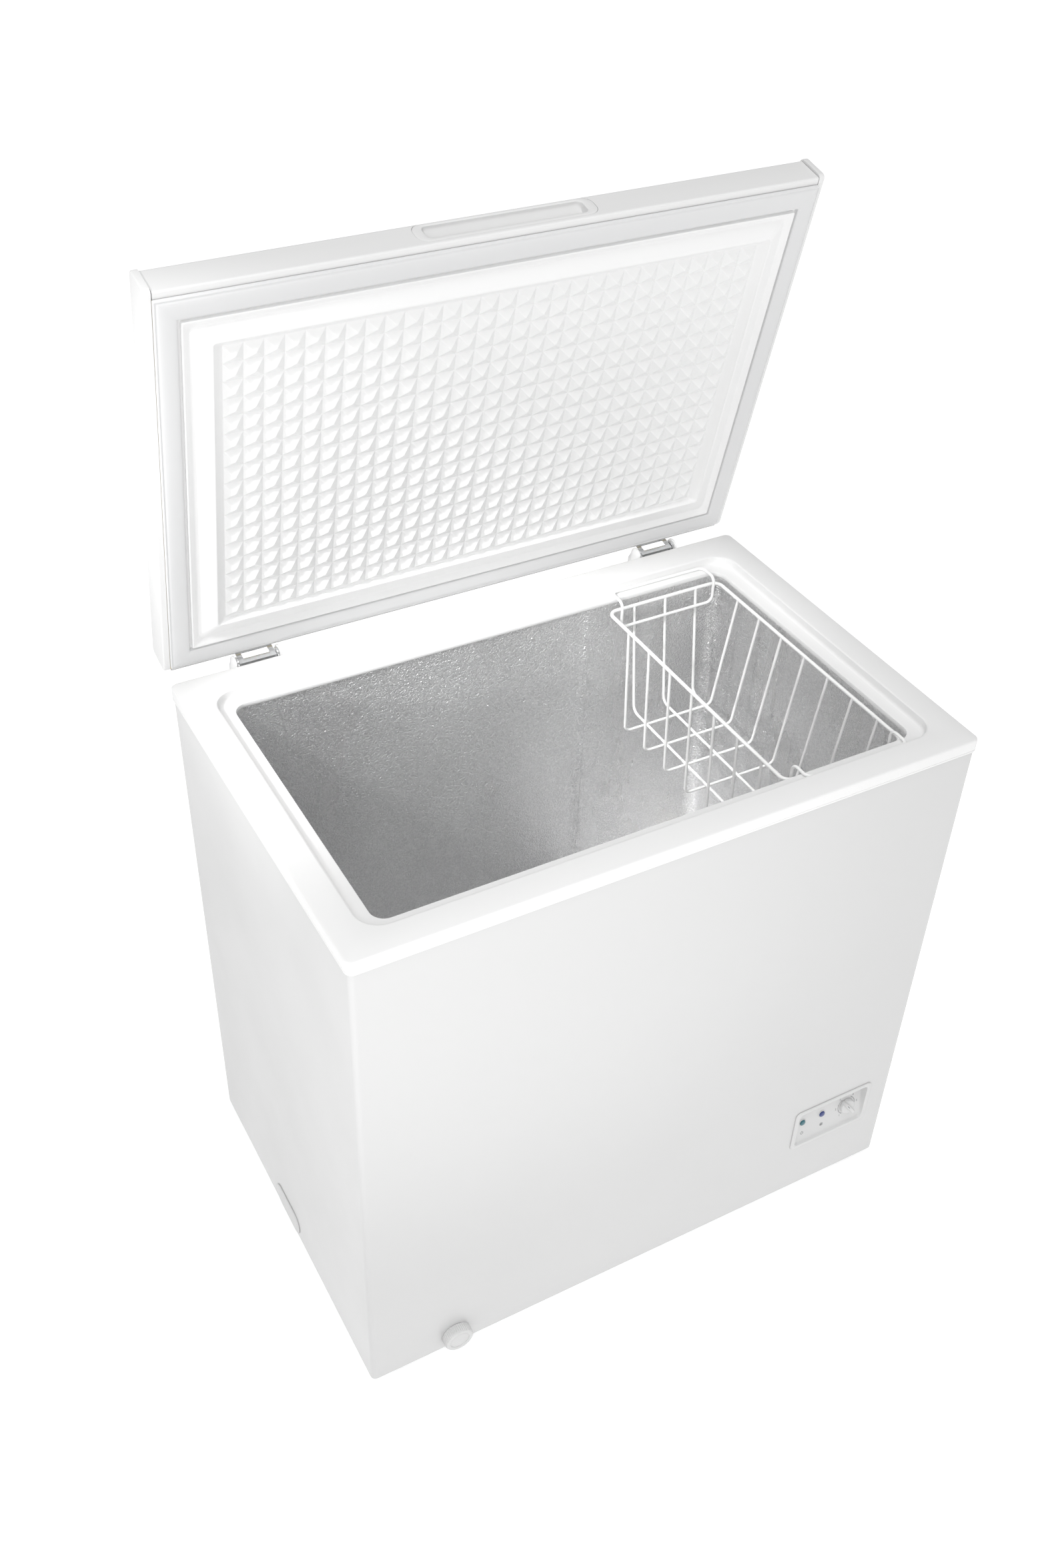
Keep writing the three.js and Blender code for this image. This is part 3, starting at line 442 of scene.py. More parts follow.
def lathe(profile, sides, place, ripple=None, build=None, ring=False):
    """Turns [radius, height] points about +Z; ripple(angle, radius, height) may change a point's radius.

    A ring joins its last point to its first, otherwise both ends are capped.
    """
    build = build or bmesh.new()
    rows = []
    for r, h in profile:
        row = []
        for k in range(sides):
            a = 2 * math.pi * k / sides
            rr = ripple(a, r, h) if ripple else r
            row.append(build.verts.new(place @ Vector((rr * math.cos(a), rr * math.sin(a), h))))
        rows.append(row)
    for a, b in list(zip(rows, rows[1:])) + ([(rows[-1], rows[0])] if ring else []):
        for i in range(sides):
            j = (i + 1) % sides
            build.faces.new((a[i], a[j], b[j], b[i]))
    if not ring:
        build.faces.new(rows[0][::-1])
        build.faces.new(rows[-1])
    return build


def profile_run(points, x0, x1, place=CAB):
    """A profile of (y, z) points run along x."""
    return loft([[Vector((x, y, z)) for y, z in points] for x in (x0, x1)], place)


def arc(cu, cv, r, start, end, steps=6):
    """Points of an arc in a plane, angles in degrees."""
    angles = [math.radians(start + (end - start) * i / steps) for i in range(steps + 1)]
    return [(cu + r * math.cos(a), cv + r * math.sin(a)) for a in angles]


def difference(piece, *cutters):
    """Cuts closed bmesh solids out of a piece and removes them."""
    for build in cutters:
        bmesh.ops.recalc_face_normals(build, faces=build.faces)
        mesh = bpy.data.meshes.new("cutter")
        build.to_mesh(mesh)
        build.free()
        tool = bpy.data.objects.new("cutter", mesh)
        bpy.context.scene.collection.objects.link(tool)
        modifier = piece.modifiers.new("cut", "BOOLEAN")
        modifier.operation = "DIFFERENCE"
        modifier.solver = "EXACT"
        modifier.object = tool
        with bpy.context.temp_override(object=piece, active_object=piece, selected_objects=[piece]):
            bpy.ops.object.modifier_apply(modifier=modifier.name)
        bpy.data.objects.remove(tool)


def refine(node, made, body, bevel=0.6, segments=2):
    """A copy of a CAD solid with merged faces and softened edges, standing for that node."""
    build = bmesh.new()
    build.from_mesh(frame["nodes"][node].data)
    bmesh.ops.remove_doubles(build, verts=build.verts, dist=2e-6)
    bmesh.ops.dissolve_limit(build, angle_limit=math.radians(0.5), verts=build.verts, edges=build.edges)
    return finish_mesh(node + "_fine", build, made, body, (node,), bevel=bevel, segments=segments)


def recolor(made, *nodes):
    """Gives carried-over CAD nodes a material."""
    for node in nodes:
        for slot in frame["nodes"][node].material_slots:
            slot.material = made


def centre_of(node):
    """The middle of a node's box in the cabinet's millimetres."""
    low, high = in_cabinet(node)
    return (low + high) / 2


# ------------------------------------------------------------------ cabinet


def cabinet_shell():
    """Front and sides of one painted sheet with rounded upright corners, open at the back."""
    hx, hy, r, sheet = BODY_HALF_X, BODY_HALF_Y, 7, SHEET
    low, high = SHELL_LOW.z, SHELL_HIGH.z
    outer = [(low, 0.5), (low + 0.5, 0), (high, 0)]
    loops = [level(z, hx - inset, hy - inset, r - inset, n=12) for z, inset in outer]
    loops += [level(z, hx - sheet, hy - sheet, r - sheet, n=12) for z in (high, low)]
    piece = finish_mesh("cabinet_skin", loft(loops, ring=True), PAINT, "cabinet", ("cabinet_shell",))
    back_half, drain_hole = hx - 8, 7.5
    through_front = (-hy - 5, -hy + 5)
    opening = loft([level(z, back_half, 5, 0.1, cy=hy) for z in (low - 5, high + 5)])
    panel, dial = centre_of("control_bezel"), centre_of("drain_dial")
    window = loft([upright(y, 61.3, 35.3, 4, panel.x, panel.z) for y in through_front])
    drain = loft([upright(y, drain_hole, drain_hole, 7.4, dial.x, dial.z) for y in through_front])
    difference(piece, opening, window, drain)
    piece.data.set_sharp_from_angle(angle=SMOOTH_ANGLE)


def top_rim():
    """The collar: rounded outer edge, flat band, soft step, ledge and a lip over the liner."""
    mx, my, mr = MOUTH
    lx, ly, lr = LEDGE
    hx, hy = RIM_HALF_X, RIM_HALF_Y
    top, ledge, skirt = RIM_TOP, LEDGE_Z, RIM_LOW[2] * 1000
    lip, liner_top, underside = 756.4, 759, 768

    def outer(inset, z):
        return level(z, hx - inset, hy - inset, 9 - min(inset, 8), n=12)

    def step(grow, z):
        return level(z, lx + grow, ly + grow, lr + grow, cy=OPENING_Y, n=12)

    def mouth(grow, z):
        return level(z, mx + grow, my + grow, mr + grow, cy=OPENING_Y, n=12)

    loops = [
        outer(0.5, skirt + 3.2), outer(0, skirt + 3.7), outer(0, top - 2.6), outer(0.35, top - 1.2),
        outer(1.2, top - 0.35), outer(2.6, top),
        step(3.2, top), step(1.6, top - 0.25), step(0.5, top - 1), step(0, top - 2.4),
        step(-0.5, ledge + 4), step(-1.2, ledge + 1.8), step(-2.6, ledge + 0.5), step(-4.6, ledge),
        mouth(1.8, ledge), mouth(0.5, ledge - 0.4), mouth(0, ledge - 1.8), mouth(0, lip + 0.8),
        mouth(0.4, lip), mouth(2, lip), mouth(2, liner_top),
        step(3, liner_top + 0.5), step(3, underside),
        outer(1.7, underside), outer(1.7, skirt + 0.4), outer(1.2, skirt), outer(0.5, skirt),
        outer(0, skirt + 0.5), outer(0, skirt + 2.4), outer(0.5, skirt + 2.8),
    ]
    finish_mesh("rim_collar", loft(loops, ring=True), WHITE, "cabinet", ("top_rim",))


def wrinkle(point, amplitude, scale):
    """How far a sheet bulges at a point."""
    return amplitude * noise.fractal(point * scale, 0.9, 2.1, 3, noise_basis="PERLIN_ORIGINAL")


def liner_wall():
    """Stucco sheet folded round the storage space, faintly wavy, with a lap seam on the back wall."""
    hx, hy = LINER_HIGH.x - SHEET, (LINER_HIGH.y - LINER_LOW.y) / 2 - SHEET
    low, high = LINER_LOW.z, LINER_HIGH.z
    step_x, step_z, seam_x = 149.4, 280.0, 144.0
    r, n = 19.3, 8
    straight_x = [-hx + r + (2 * (hx - r)) * i / 40 for i in range(1, 40)]
    straight_x = [x for x in straight_x if abs(x - seam_x) > 6]
    straight_x = sorted(straight_x + [step_x, step_x - 0.6, seam_x, seam_x - 1.2])
    straight_y = [OPENING_Y - hy + r + (2 * (hy - r)) * i / 24 for i in range(1, 24)]
    base = rectangle(hx, hy, r, cy=OPENING_Y, n=n)
    corner = n + 1
    path = base[:corner] + [(hx, y) for y in straight_y]
    path += base[corner:2 * corner] + [(x, OPENING_Y + hy) for x in reversed(straight_x)]
    path += base[2 * corner:3 * corner] + [(-hx, y) for y in reversed(straight_y)]
    path += base[3 * corner:] + [(x, OPENING_Y - hy) for x in straight_x]
    count = len(path)
    rows = 44
    inward = []
    for i in range(count):
        a, b = Vector(path[i - 1]), Vector(path[(i + 1) % count])
        along = (b - a).normalized()
        inward.append(Vector((-along.y, along.x)))

    def column(i, row):
        x, y = path[i]
        bottom = step_z if x > step_x - 0.3 else low
        z = bottom + (high - bottom) * row / rows
        fade = min(1, (high - z) / 40) * min(1, 0.2 + (z - bottom) / 60)
        wave = wrinkle(Vector((x, y, z * 0.3)), 1.3, 0.013)
        ripple = wrinkle(Vector((x, y, z)), 0.35, 0.05)
        push = wave * fade + ripple * fade
        near_corner = min(abs(abs(x) - hx), 40) + min(abs(abs(y - OPENING_Y) - hy), 40)
        push *= 1 if near_corner > 8 else 0.6
        if y > OPENING_Y + hy - 1 and x > seam_x - 0.6:
            push += 0.9
        offset = inward[i] * push
        return Vector((x + offset.x, y + offset.y, z))

    build = bmesh.new()
    inner = [[build.verts.new(CAB @ column(i, row)) for i in range(count)] for row in range(rows + 1)]
    outer = []
    for row in (0, rows):
        edge = []
        for i in range(count):
            point = Vector((*path[i], column(i, row).z)) - Vector((*inward[i], 0)) * SHEET
            edge.append(build.verts.new(CAB @ point))
        outer.append(edge)
    for a, b in zip(inner, inner[1:]):
        for i in range(count):
            j = (i + 1) % count
            build.faces.new((a[i], a[j], b[j], b[i]))
    for a, b in ((outer[0], inner[0]), (inner[-1], outer[1]), (outer[1], outer[0])):
        for i in range(count):
            j = (i + 1) % count
            build.faces.new((a[i], a[j], b[j], b[i]))
    finish_mesh("liner_sheet", build, STUCCO, "cabinet", ("liner_wall",), smooth=math.radians(60))


def side_cover():
    """The low rounded cover at the foot of the left side."""
    low, high = in_cabinet("side_cap")
    cy, cz = (low.y + high.y) / 2, (low.z + high.z) / 2
    hy, hz = (high.y - low.y) / 2, (high.z - low.z) / 2
    loops = [sideways(high.x - t, hy - inset, hz - inset, 17 - inset, cy, cz, n=10)
             for t, inset in ((0, 0), (0.5, 0), (1.1, 0.5), (1.45, 1.6), (1.6, 3.5))]
    finish_mesh("side_cover", loft(loops), SHADED_UPRIGHT_WHITE, "cabinet", ("side_cap",))


def rear_details():
    """Screws along the back panel's edges and a blank rating plate."""
    build = bmesh.new()
    y = BODY_HALF_Y + 0.1
    screw = [(0.4, 0), (4.6, 0), (4.6, 0.6), (3.6, 1.6), (1.6, 2.1), (0.4, 2.1)]
    for x in (-380, -190, 0, 190, 380):
        for z in (28, 752):
            lathe(screw, 20, CAB @ Matrix.Translation((x, y, z)) @ FACING_BACK, build=build)
    finish_mesh("rear_screws", build, CHROME, "cabinet")
    layers = ((0, 0), (0.25, 0), (0.35, 0.3))
    plate = loft([upright(y + t, 45 - i, 28 - i, 3, -120, 600) for t, i in layers])
    finish_mesh("rear_blank_plate", plate, CHROME, "cabinet")


# ------------------------------------------------------------------ lid


def lid_outer_panel():
    """Painted top sheet, folded down at the back, with a rounded rear edge."""
    front, r = -254.2, 3.5
    bottom, top, back = LID_BOTTOM + 0.4, LID_TOP, LID_BACK
    points = [(front, bottom), (front + SHEET, bottom), (front + SHEET, top - SHEET)]
    points += arc(back - r, top - r, r - SHEET, 90, 0)
    points += [(back - SHEET, bottom), (back, bottom)]
    points += arc(back - r, top - r, r, 0, 90)
    points += [(front, top)]
    run = profile_run(points, -LID_SHEET, LID_SHEET, LID)
    piece = finish_mesh("lid_outer", run, PAINT, "lid", ("lid_top_panel",))
    difference(piece, handle_cutter(0.4))
    piece.data.set_sharp_from_angle(angle=SMOOTH_ANGLE)


HANDLE = {"half": 108, "mid_z": 802, "half_z": 16, "r": 13}


def handle_cutter(grow):
    """A block of the handle's outline, made larger all round."""
    half_x, half_z = HANDLE["half"] + grow, HANDLE["half_z"] + grow
    return loft([upright(y, half_x, half_z, HANDLE["r"], 0, HANDLE["mid_z"]) for y in (-275, -239)], LID)


def lid_front_trim():
    """Front strip with a full rounded nose."""
    front, back, top = LID_FACE, -254.5, 820.6
    bottom = LID_BOTTOM + 0.4
    points = [(back, bottom)] + arc(front + 2.2, bottom + 2.2, 2.2, -90, -180) + [(front, 800)]
    points += arc(front + 4.5, top - 4.5, 4.5, 180, 90) + [(back, top)]
    run = profile_run(points, -LID_SHEET, LID_SHEET, LID)
    piece = finish_mesh("lid_nose", run, WHITE, "lid", ("lid_front_trim",))
    difference(piece, handle_cutter(0.25))
    piece.data.set_sharp_from_angle(angle=SMOOTH_ANGLE)


def lid_handle():
    """Grip insert: a flush surround with a wedge pocket, deepest along its lower edge."""
    h = HANDLE
    face, deep, shallow = LID_FACE, -242.5, -259.0
    pocket = (96, 10.8, 6.5)
    pocket_z = h["mid_z"] + 0.5

    def floor(z):
        share = (z - (pocket_z - pocket[1])) / (2 * pocket[1])
        return deep + (shallow - deep) * share

    def pocket_floor(inset, lift):
        flat = rectangle(pocket[0] - inset, pocket[1] - inset, pocket[2] - inset, 0, pocket_z, n=10)
        return [Vector((x, floor(z) - lift, z)) for x, z in flat]

    loops = [upright(-241, h["half"], h["half_z"], h["r"], 0, h["mid_z"], n=10)]
    loops += [upright(face + t, h["half"] - i, h["half_z"] - i, h["r"] - i, 0, h["mid_z"], n=10)
              for t, i in ((0.6, 0), (0.1, 0.3), (-0.15, 1.0))]
    loops += [upright(face + t, pocket[0] + g, pocket[1] + g, pocket[2] + g, 0, pocket_z, n=10)
              for t, g in ((-0.15, 1.6), (0.1, 0.7), (0.7, 0.15), (1.6, 0))]
    loops += [pocket_floor(0, 1.2), pocket_floor(0.5, 0.35), pocket_floor(1.6, 0)]
    finish_mesh("lid_grip", loft(loops, LID), WHITE, "lid", ("lid_handle_insert",))


def lid_side_trims():
    """End caps of the lid with rounded outer edges."""
    mid_y, mid_z = (LID_FRONT + LID_BACK) / 2, (LID_BOTTOM + LID_TOP) / 2
    hy, hz = (LID_BACK - LID_FRONT) / 2, (LID_TOP - LID_BOTTOM) / 2
    steps = ((-8.0, 0), (-1.9, 0), (-1.1, 0.25), (-0.45, 0.8), (-0.1, 1.6), (0, 2.6))
    for side, sign in (("left", -1), ("right", 1)):
        loops = [sideways(sign * (LID_HALF + x), hy - i, hz - i, 5.5, mid_y, mid_z, n=8) for x, i in steps]
        name = "lid_side_trim_" + side
        finish_mesh("lid_end_cap_" + side, loft(loops, LID), WHITE, "lid", (name,))


WAFFLE = {"columns": 29, "rows": 17, "pitch": 22.48, "valley": 776.2, "peak": 769.4, "mid_y": -0.5}
LINER_BACK = 780.0
LIP = {"hx": 367.8, "hy": 228.6, "mid_y": 1.6, "z": 774.7}
GROOVE = {"hx": 359.1, "hy": 219.2, "mid_y": 0.7, "z": 778.2}
CREST = {"hx": 338.5, "hy": 198.8, "mid_y": -2.6, "z": 768.3}


def waffle_cell(build, cx, cy):
    """One shallow pyramid of the pressed pattern, with soft edges and a rounded tip."""
    w = WAFFLE
    half = w["pitch"] / 2
    rise = w["valley"] - w["peak"]
    stages = (
        (half, 0.0, 0.0), (half - 0.5, 0.03, 0.3), (half - 1.2, 0.12, 0.5),
        (2.1, 0.87, 0.7), (1.1, 0.97, 0.5),
    )
    rings = []
    for s, share, chamfer in stages:
        z = w["valley"] - rise * share
        c = max(chamfer, 0.3)
        pull = chamfer * 0.45
        ring = []
        for sx, sy in ((1, -1), (1, 1), (-1, 1), (-1, -1)):
            first = (cx + sx * s, cy + sy * (s - c))
            second = (cx + sx * (s - c), cy + sy * s)
            tip = (cx + sx * (s - pull), cy + sy * (s - pull))
            trio = (first, tip, second) if sx * sy > 0 else (second, tip, first)
            ring += [build.verts.new(LID @ Vector((x, y, z))) for x, y in trio]
        rings.append(ring)
    for a, b in zip(rings, rings[1:]):
        for i in range(12):
            j = (i + 1) % 12
            build.faces.new((a[i], a[j], b[j], b[i]))
    tip = build.verts.new(LID @ Vector((cx, cy, w["peak"])))
    for i in range(12):
        build.faces.new((rings[-1][i], rings[-1][(i + 1) % 12], tip))
    return rings[0]


def lid_waffle():
    """The pressed field of pyramids in the middle of the lid's inner liner."""
    w = WAFFLE
    build = bmesh.new()
    half_x, half_y = w["columns"] * w["pitch"] / 2, w["rows"] * w["pitch"] / 2
    for row in range(w["rows"]):
        for column in range(w["columns"]):
            cx = (column + 0.5) * w["pitch"] - half_x
            cy = (row + 0.5) * w["pitch"] - half_y + w["mid_y"]
            waffle_cell(build, cx, cy)
    bmesh.ops.remove_doubles(build, verts=build.verts, dist=1e-6)
    edges = [edge for edge in build.edges if edge.is_boundary]
    back = bmesh.ops.extrude_edge_only(build, edges=edges)["geom"]
    to_lid = LID.inverted()
    for vert in [item for item in back if isinstance(item, bmesh.types.BMVert)]:
        local = to_lid @ vert.co
        vert.co = LID @ Vector((local.x, local.y, LINER_BACK))
    rim = [edge for edge in build.edges if edge.is_boundary]
    bmesh.ops.edgeloop_fill(build, edges=rim)
    finish_mesh("lid_waffle", build, LINER_WHITE, "lid", smooth=0)
    return half_x, half_y


def lid_liner():
    """The liner's border: lip beside the seal, shallow groove, crest and the fall to the waffle field."""
    half_x, half_y = lid_waffle()

    def around(place, grow, z, r):
        return level(z, place["hx"] + grow, place["hy"] + grow, r, cy=place["mid_y"], n=10)

    def field(grow, z, r):
        return level(z, half_x + grow, half_y + grow, r, cy=WAFFLE["mid_y"], n=10)

    back_high, back_low = (level(z, 393.6, 256.8, 2, cy=4.0, n=10) for z in (782.6, 780.2))
    lip = LIP["z"]
    loops = [
        back_low,
        around(LIP, 3.6, 780.0, 3), around(LIP, 0.3, 779.4, 2.2), around(LIP, 0, lip + 0.6, 2),
        around(LIP, -0.3, lip + 0.1, 1.8), around(LIP, -1.0, lip, 1.6), around(LIP, -2.2, lip + 0.2, 2.5),
        around(GROOVE, 1.6, GROOVE["z"] - 0.5, 9), around(GROOVE, 0.5, GROOVE["z"], 8.5),
        around(GROOVE, -0.5, GROOVE["z"], 8), around(GROOVE, -1.8, GROOVE["z"] - 0.6, 8),
        around(CREST, 4.0, CREST["z"] + 1.4, 6), around(CREST, 1.5, CREST["z"] + 0.3, 4.5),
        around(CREST, 0, CREST["z"], 4), around(CREST, -0.7, CREST["z"] + 0.15, 3.6),
        around(CREST, -1.3, CREST["z"] + 0.8, 3.4), field(2.6, WAFFLE["valley"] - 0.7, 3),
        field(0.8, WAFFLE["valley"], 2), field(-0.2, WAFFLE["valley"] + 0.1, 1), field(-0.2, 781.0, 1),
        back_high,
    ]
    finish_mesh("lid_liner_border", loft(loops, LID, ring=True), LINER_WHITE, "lid", ("lid_inner_liner",))


def lid_seal():
    """Broad soft seal with mitred corners: a thin lip beside the trim, then a band that rolls outwards."""
    outer, inner = (394.6, 256.55, 1.65), (371.4, 232.2, 1.6)
    profile = [
        (0.0, 780.2), (0.0, 776.6), (0.02, 775.9), (0.05, 775.8), (0.07, 776.4), (0.09, 776.4), (0.13, 775.7),
        (0.22, 775.1), (0.34, 774.7), (0.48, 774.5), (0.7, 774.5), (0.9, 774.6), (0.97, 774.9), (1.0, 775.8),
        (1.0, 780.2),
    ]
    loops = []
    for share, z in profile:
        hx, hy, cy = (a + (b - a) * share for a, b in zip(outer, inner))
        loops.append(level(z, hx, hy, 0.6, cy=cy, n=1))
    seal = loft(loops, LID, ring=True)
    finish_mesh("lid_seal", seal, SEAL, "lid", ("lid_gasket",), smooth=math.radians(35))


# ------------------------------------------------------------------ hinges


def hinge_screws():
    """Pan-head screws in the hinge channels and the lid brackets."""
    body_screw = [(0.4, 0), (5.2, 0), (5.2, 0.8), (4.2, 2.4), (2.2, 3.1), (0.4, 3.1)]
    lid_screw = [(0.4, 0), (4.6, 0), (4.6, 0.7), (3.6, 2.0), (1.8, 2.5), (0.4, 2.5)]
    for side in ("left", "right"):
        x = centre_of("hinge_base_" + side).x
        build = bmesh.new()
        for z in (672, 700, 742):
            lathe(body_screw, 22, CAB @ Matrix.Translation((x, 262.7, z)) @ FACING_BACK, build=build)
        finish_mesh("hinge_screws_" + side, build, CHROME, "cabinet")
        build = bmesh.new()
        for dx in (-12, 12):
            lathe(lid_screw, 22, LID @ Matrix.Translation((x + dx, 267.9, 803)) @ FACING_BACK, build=build)
        finish_mesh("hinge_lid_screws_" + side, build, CHROME, "lid")


def hinge_sleeves():
    """Bright sleeves round the hinge pins between the bracket's ears."""
    bore, chamfer, radius, half = 3.3, 0.5, 5.4, 19.5
    profile = [
        (bore, -half), (radius - chamfer, -half), (radius, chamfer - half), (radius, half - chamfer),
        (radius - chamfer, half), (bore, half),
    ]
    for side in ("left", "right"):
        centre = centre_of("hinge_pin_" + side)
        place = CAB @ Matrix.Translation(centre) @ Matrix.Rotation(math.pi / 2, 4, "Y")
        finish_mesh("hinge_sleeve_" + side, lathe(profile, 32, place, ring=True), CHROME, "cabinet")


# ------------------------------------------------------------------ controls

PANEL = {"z0": 110.0, "z1": 174.0, "y0": -258.0, "y1": -248.0}
SLOPE = math.atan2(PANEL["y1"] - PANEL["y0"], PANEL["z1"] - PANEL["z0"])


def panel_y(z):
    """Depth of the sloping panel face at a height."""
    return PANEL["y0"] + (PANEL["y1"] - PANEL["y0"]) * (z - PANEL["z0"]) / (PANEL["z1"] - PANEL["z0"])


def on_panel(x, z, spin=0.0):
    """Placement on the sloping panel face: +Z out of it, +Y up it, spun about its normal."""
    return (CAB @ Matrix.Translation((x, panel_y(z), z)) @ Matrix.Rotation(math.pi / 2 - SLOPE, 4, "X")
            @ Matrix.Rotation(spin, 4, "Z"))


def control_surround():
    """Flush surround with a recessed face that slopes back towards the top."""
    cx, _, cz = centre_of("control_bezel")
    front = in_cabinet("control_bezel")[0].y
    shallowest = front + 1.2

    def face(hx, hz, r, lift):
        flat = rectangle(hx, hz, r, cx, cz, n=8)
        return [Vector((x, max(panel_y(z) - lift, shallowest), z)) for x, z in flat]

    loops = [upright(-246, 60.5, 34.5, 4, cx, cz), upright(-260.3, 60.5, 34.5, 4, cx, cz)]
    rolled_edge = ((1.7, 0), (0.9, 0), (0.3, 0.4), (0, 1.2))
    loops += [upright(front + t, 65 - i, 39 - i, 8 - i, cx, cz) for t, i in rolled_edge]
    loops += [upright(front, 59.5, 34.2, 7.5, cx, cz), upright(front + 0.25, 58.4, 33.2, 6.8, cx, cz)]
    loops += [face(57.4, 32.4, 6, 2.4), face(56.9, 31.9, 6, 1.1), face(55.9, 30.9, 6, 0.3)]
    loops += [face(54.4, 29.4, 5, 0)]
    surround = loft(loops)
    stands_for = ("control_bezel",)
    finish_mesh("control_surround", surround, SHADED_UPRIGHT_WHITE, "cabinet", stands_for, smooth=math.radians(40))


KNOB_AT = (336.0, 139.7)
GRIP_TURN = 0.62
PRINT = (0.01, 0.06)
LAMPS = (("power_lamp", 259.5, GREEN), ("run_lamp", 293.0, BLUE))
LAMP_Z, ICON_Z = 144.0, 124.5


def control_knob():
    """Low dial with a diametral grip bar."""
    place = on_panel(*KNOB_AT)
    profile = [
        (0.3, 0.3), (11.3, 0.3), (11.5, 0.6), (11.4, 3.8), (11.0, 5.0), (10.0, 5.8), (8.5, 6.1), (0.3, 6.1),
    ]
    build = lathe(profile, 64, place)
    grip_place = on_panel(*KNOB_AT, spin=GRIP_TURN)
    steps = (
        (0.6, 3.1, 12.4, 2.9), (8.0, 2.7, 12.0, 2.6), (9.8, 2.4, 11.7, 2.3), (10.7, 1.7, 11.0, 1.6),
        (11.0, 0.9, 10.2, 0.8),
    )
    loft([level(*step) for step in steps], grip_place, build=build)
    finish_mesh("control_dial", build, SHADED_UPRIGHT_WHITE, "knob", ("control_knob",))
    mark = loft([level(h, 0.45, 3.4, 0.4, 0, 6.8) for h in (11.0, 11.08)], grip_place)
    finish_mesh("control_dial_mark", mark, INK, "knob")


def flat_sector(build, place, r0, r1, start, end, steps=10):
    """A thin printed ring sector on the panel."""
    outline = arc(0, 0, r1, start, end, steps) + arc(0, 0, r0, end, start, steps)
    loft([[Vector((x, y, h)) for x, y in outline] for h in PRINT], place, build=build)


def flat_bar(build, place, *shape):
    """A thin printed bar on the panel."""
    loft([level(h, *shape) for h in PRINT], place, build=build)


def polar(reach, degrees):
    """A shift on the panel given as a distance and an angle."""
    angle = math.radians(degrees)
    return Matrix.Translation((reach * math.cos(angle), reach * math.sin(angle), 0))


def print_text(name, text, place, size):
    """A printed number as a mesh, centred on a placement."""
    curve = bpy.data.curves.new(name, "FONT")
    curve.body = text
    curve.size = size
    curve.align_x = "CENTER"
    curve.align_y = "CENTER"
    curve.extrude = 0.03
    holder = bpy.data.objects.new(name, curve)
    bpy.context.scene.collection.objects.link(holder)
    bpy.context.view_layer.update()
    mesh = bpy.data.meshes.new_from_object(holder.evaluated_get(bpy.context.evaluated_depsgraph_get()))
    bpy.data.objects.remove(holder)
    mesh.transform(Matrix.Translation((0, 0, 0.04)))
    mesh.transform(place)
    build = bmesh.new()
    build.from_mesh(mesh)
    bpy.data.meshes.remove(mesh)
    return build


def panel_print():
    """Printed scale round the dial with its numbers, and the two symbols under the lamps."""
    build = bmesh.new()
    place = on_panel(*KNOB_AT)
    for start, end in ((232, 205), (198, 165), (158, 128), (52, 22), (15, -18), (-25, -52)):
        flat_sector(build, place, 14.0, 14.7, start, end)
    dot = [(0.05, 0.01), (0.75, 0.01), (0.75, 0.07), (0.05, 0.07)]
    for angle in (235, 201, 161, 125, 55, 18, -22, -55):
        lathe(dot, 12, place @ polar(14.4, angle), build=build)
    ring = on_panel(LAMPS[0][1], ICON_Z)
    flat_sector(build, ring, 1.75, 2.55, 125, 415, 24)
    flat_bar(build, ring, 0.36, 1.5, 0.3, 0, 2.0)
    flake = LAMPS[1][1]
    for k in range(3):
        arm = on_panel(flake, ICON_Z, spin=math.radians(60 * k))
        flat_bar(build, arm, 0.34, 2.9, 0.25)
        for end in (1, -1):
            for lean in (1, -1):
                branch = Matrix.Rotation(math.radians(45 * lean), 4, "Z")
                twig = arm @ Matrix.Translation((0, 1.7 * end, 0)) @ branch
                flat_bar(build, twig, 0.26, 0.85, 0.2, 0, 0.6 * end)
    finish_mesh("panel_print", build, INK, "cabinet", smooth=0)
    for text, angle in (("1", 232), ("2", 180), ("3", 128), ("4", 52), ("5", 0), ("6", -52)):
        number = print_text("n" + text, text, place @ polar(18.3, angle), 5.0)
        finish_mesh("panel_number_" + text, number, INK, "cabinet", smooth=0)


def lamps():
    """Domed lenses, each in a raised white collar."""
    for node, x, made in LAMPS:
        low, high = in_cabinet(node)
        r = (high.x - low.x) / 2
        dome = [(0.1, 0.3), (r, 0.3), (r, 1.0), (r - 0.3, 1.7), (r - 1.1, 2.2), (r - 2.3, 2.45), (0.1, 2.5)]
        finish_mesh(node + "_lens", lathe(dome, 40, on_panel(x, LAMP_Z)), made, "cabinet", (node,))
        profile = [
            (r + 0.1, 0.05), (r + 1.2, 0.05), (r + 1.3, 0.3), (r + 1.0, 0.8), (r + 0.4, 0.9), (r + 0.1, 0.7),
        ]
        collar = lathe(profile, 40, on_panel(x, LAMP_Z), ring=True)
        finish_mesh(node + "_collar", collar, SHADED_UPRIGHT_WHITE, "cabinet")


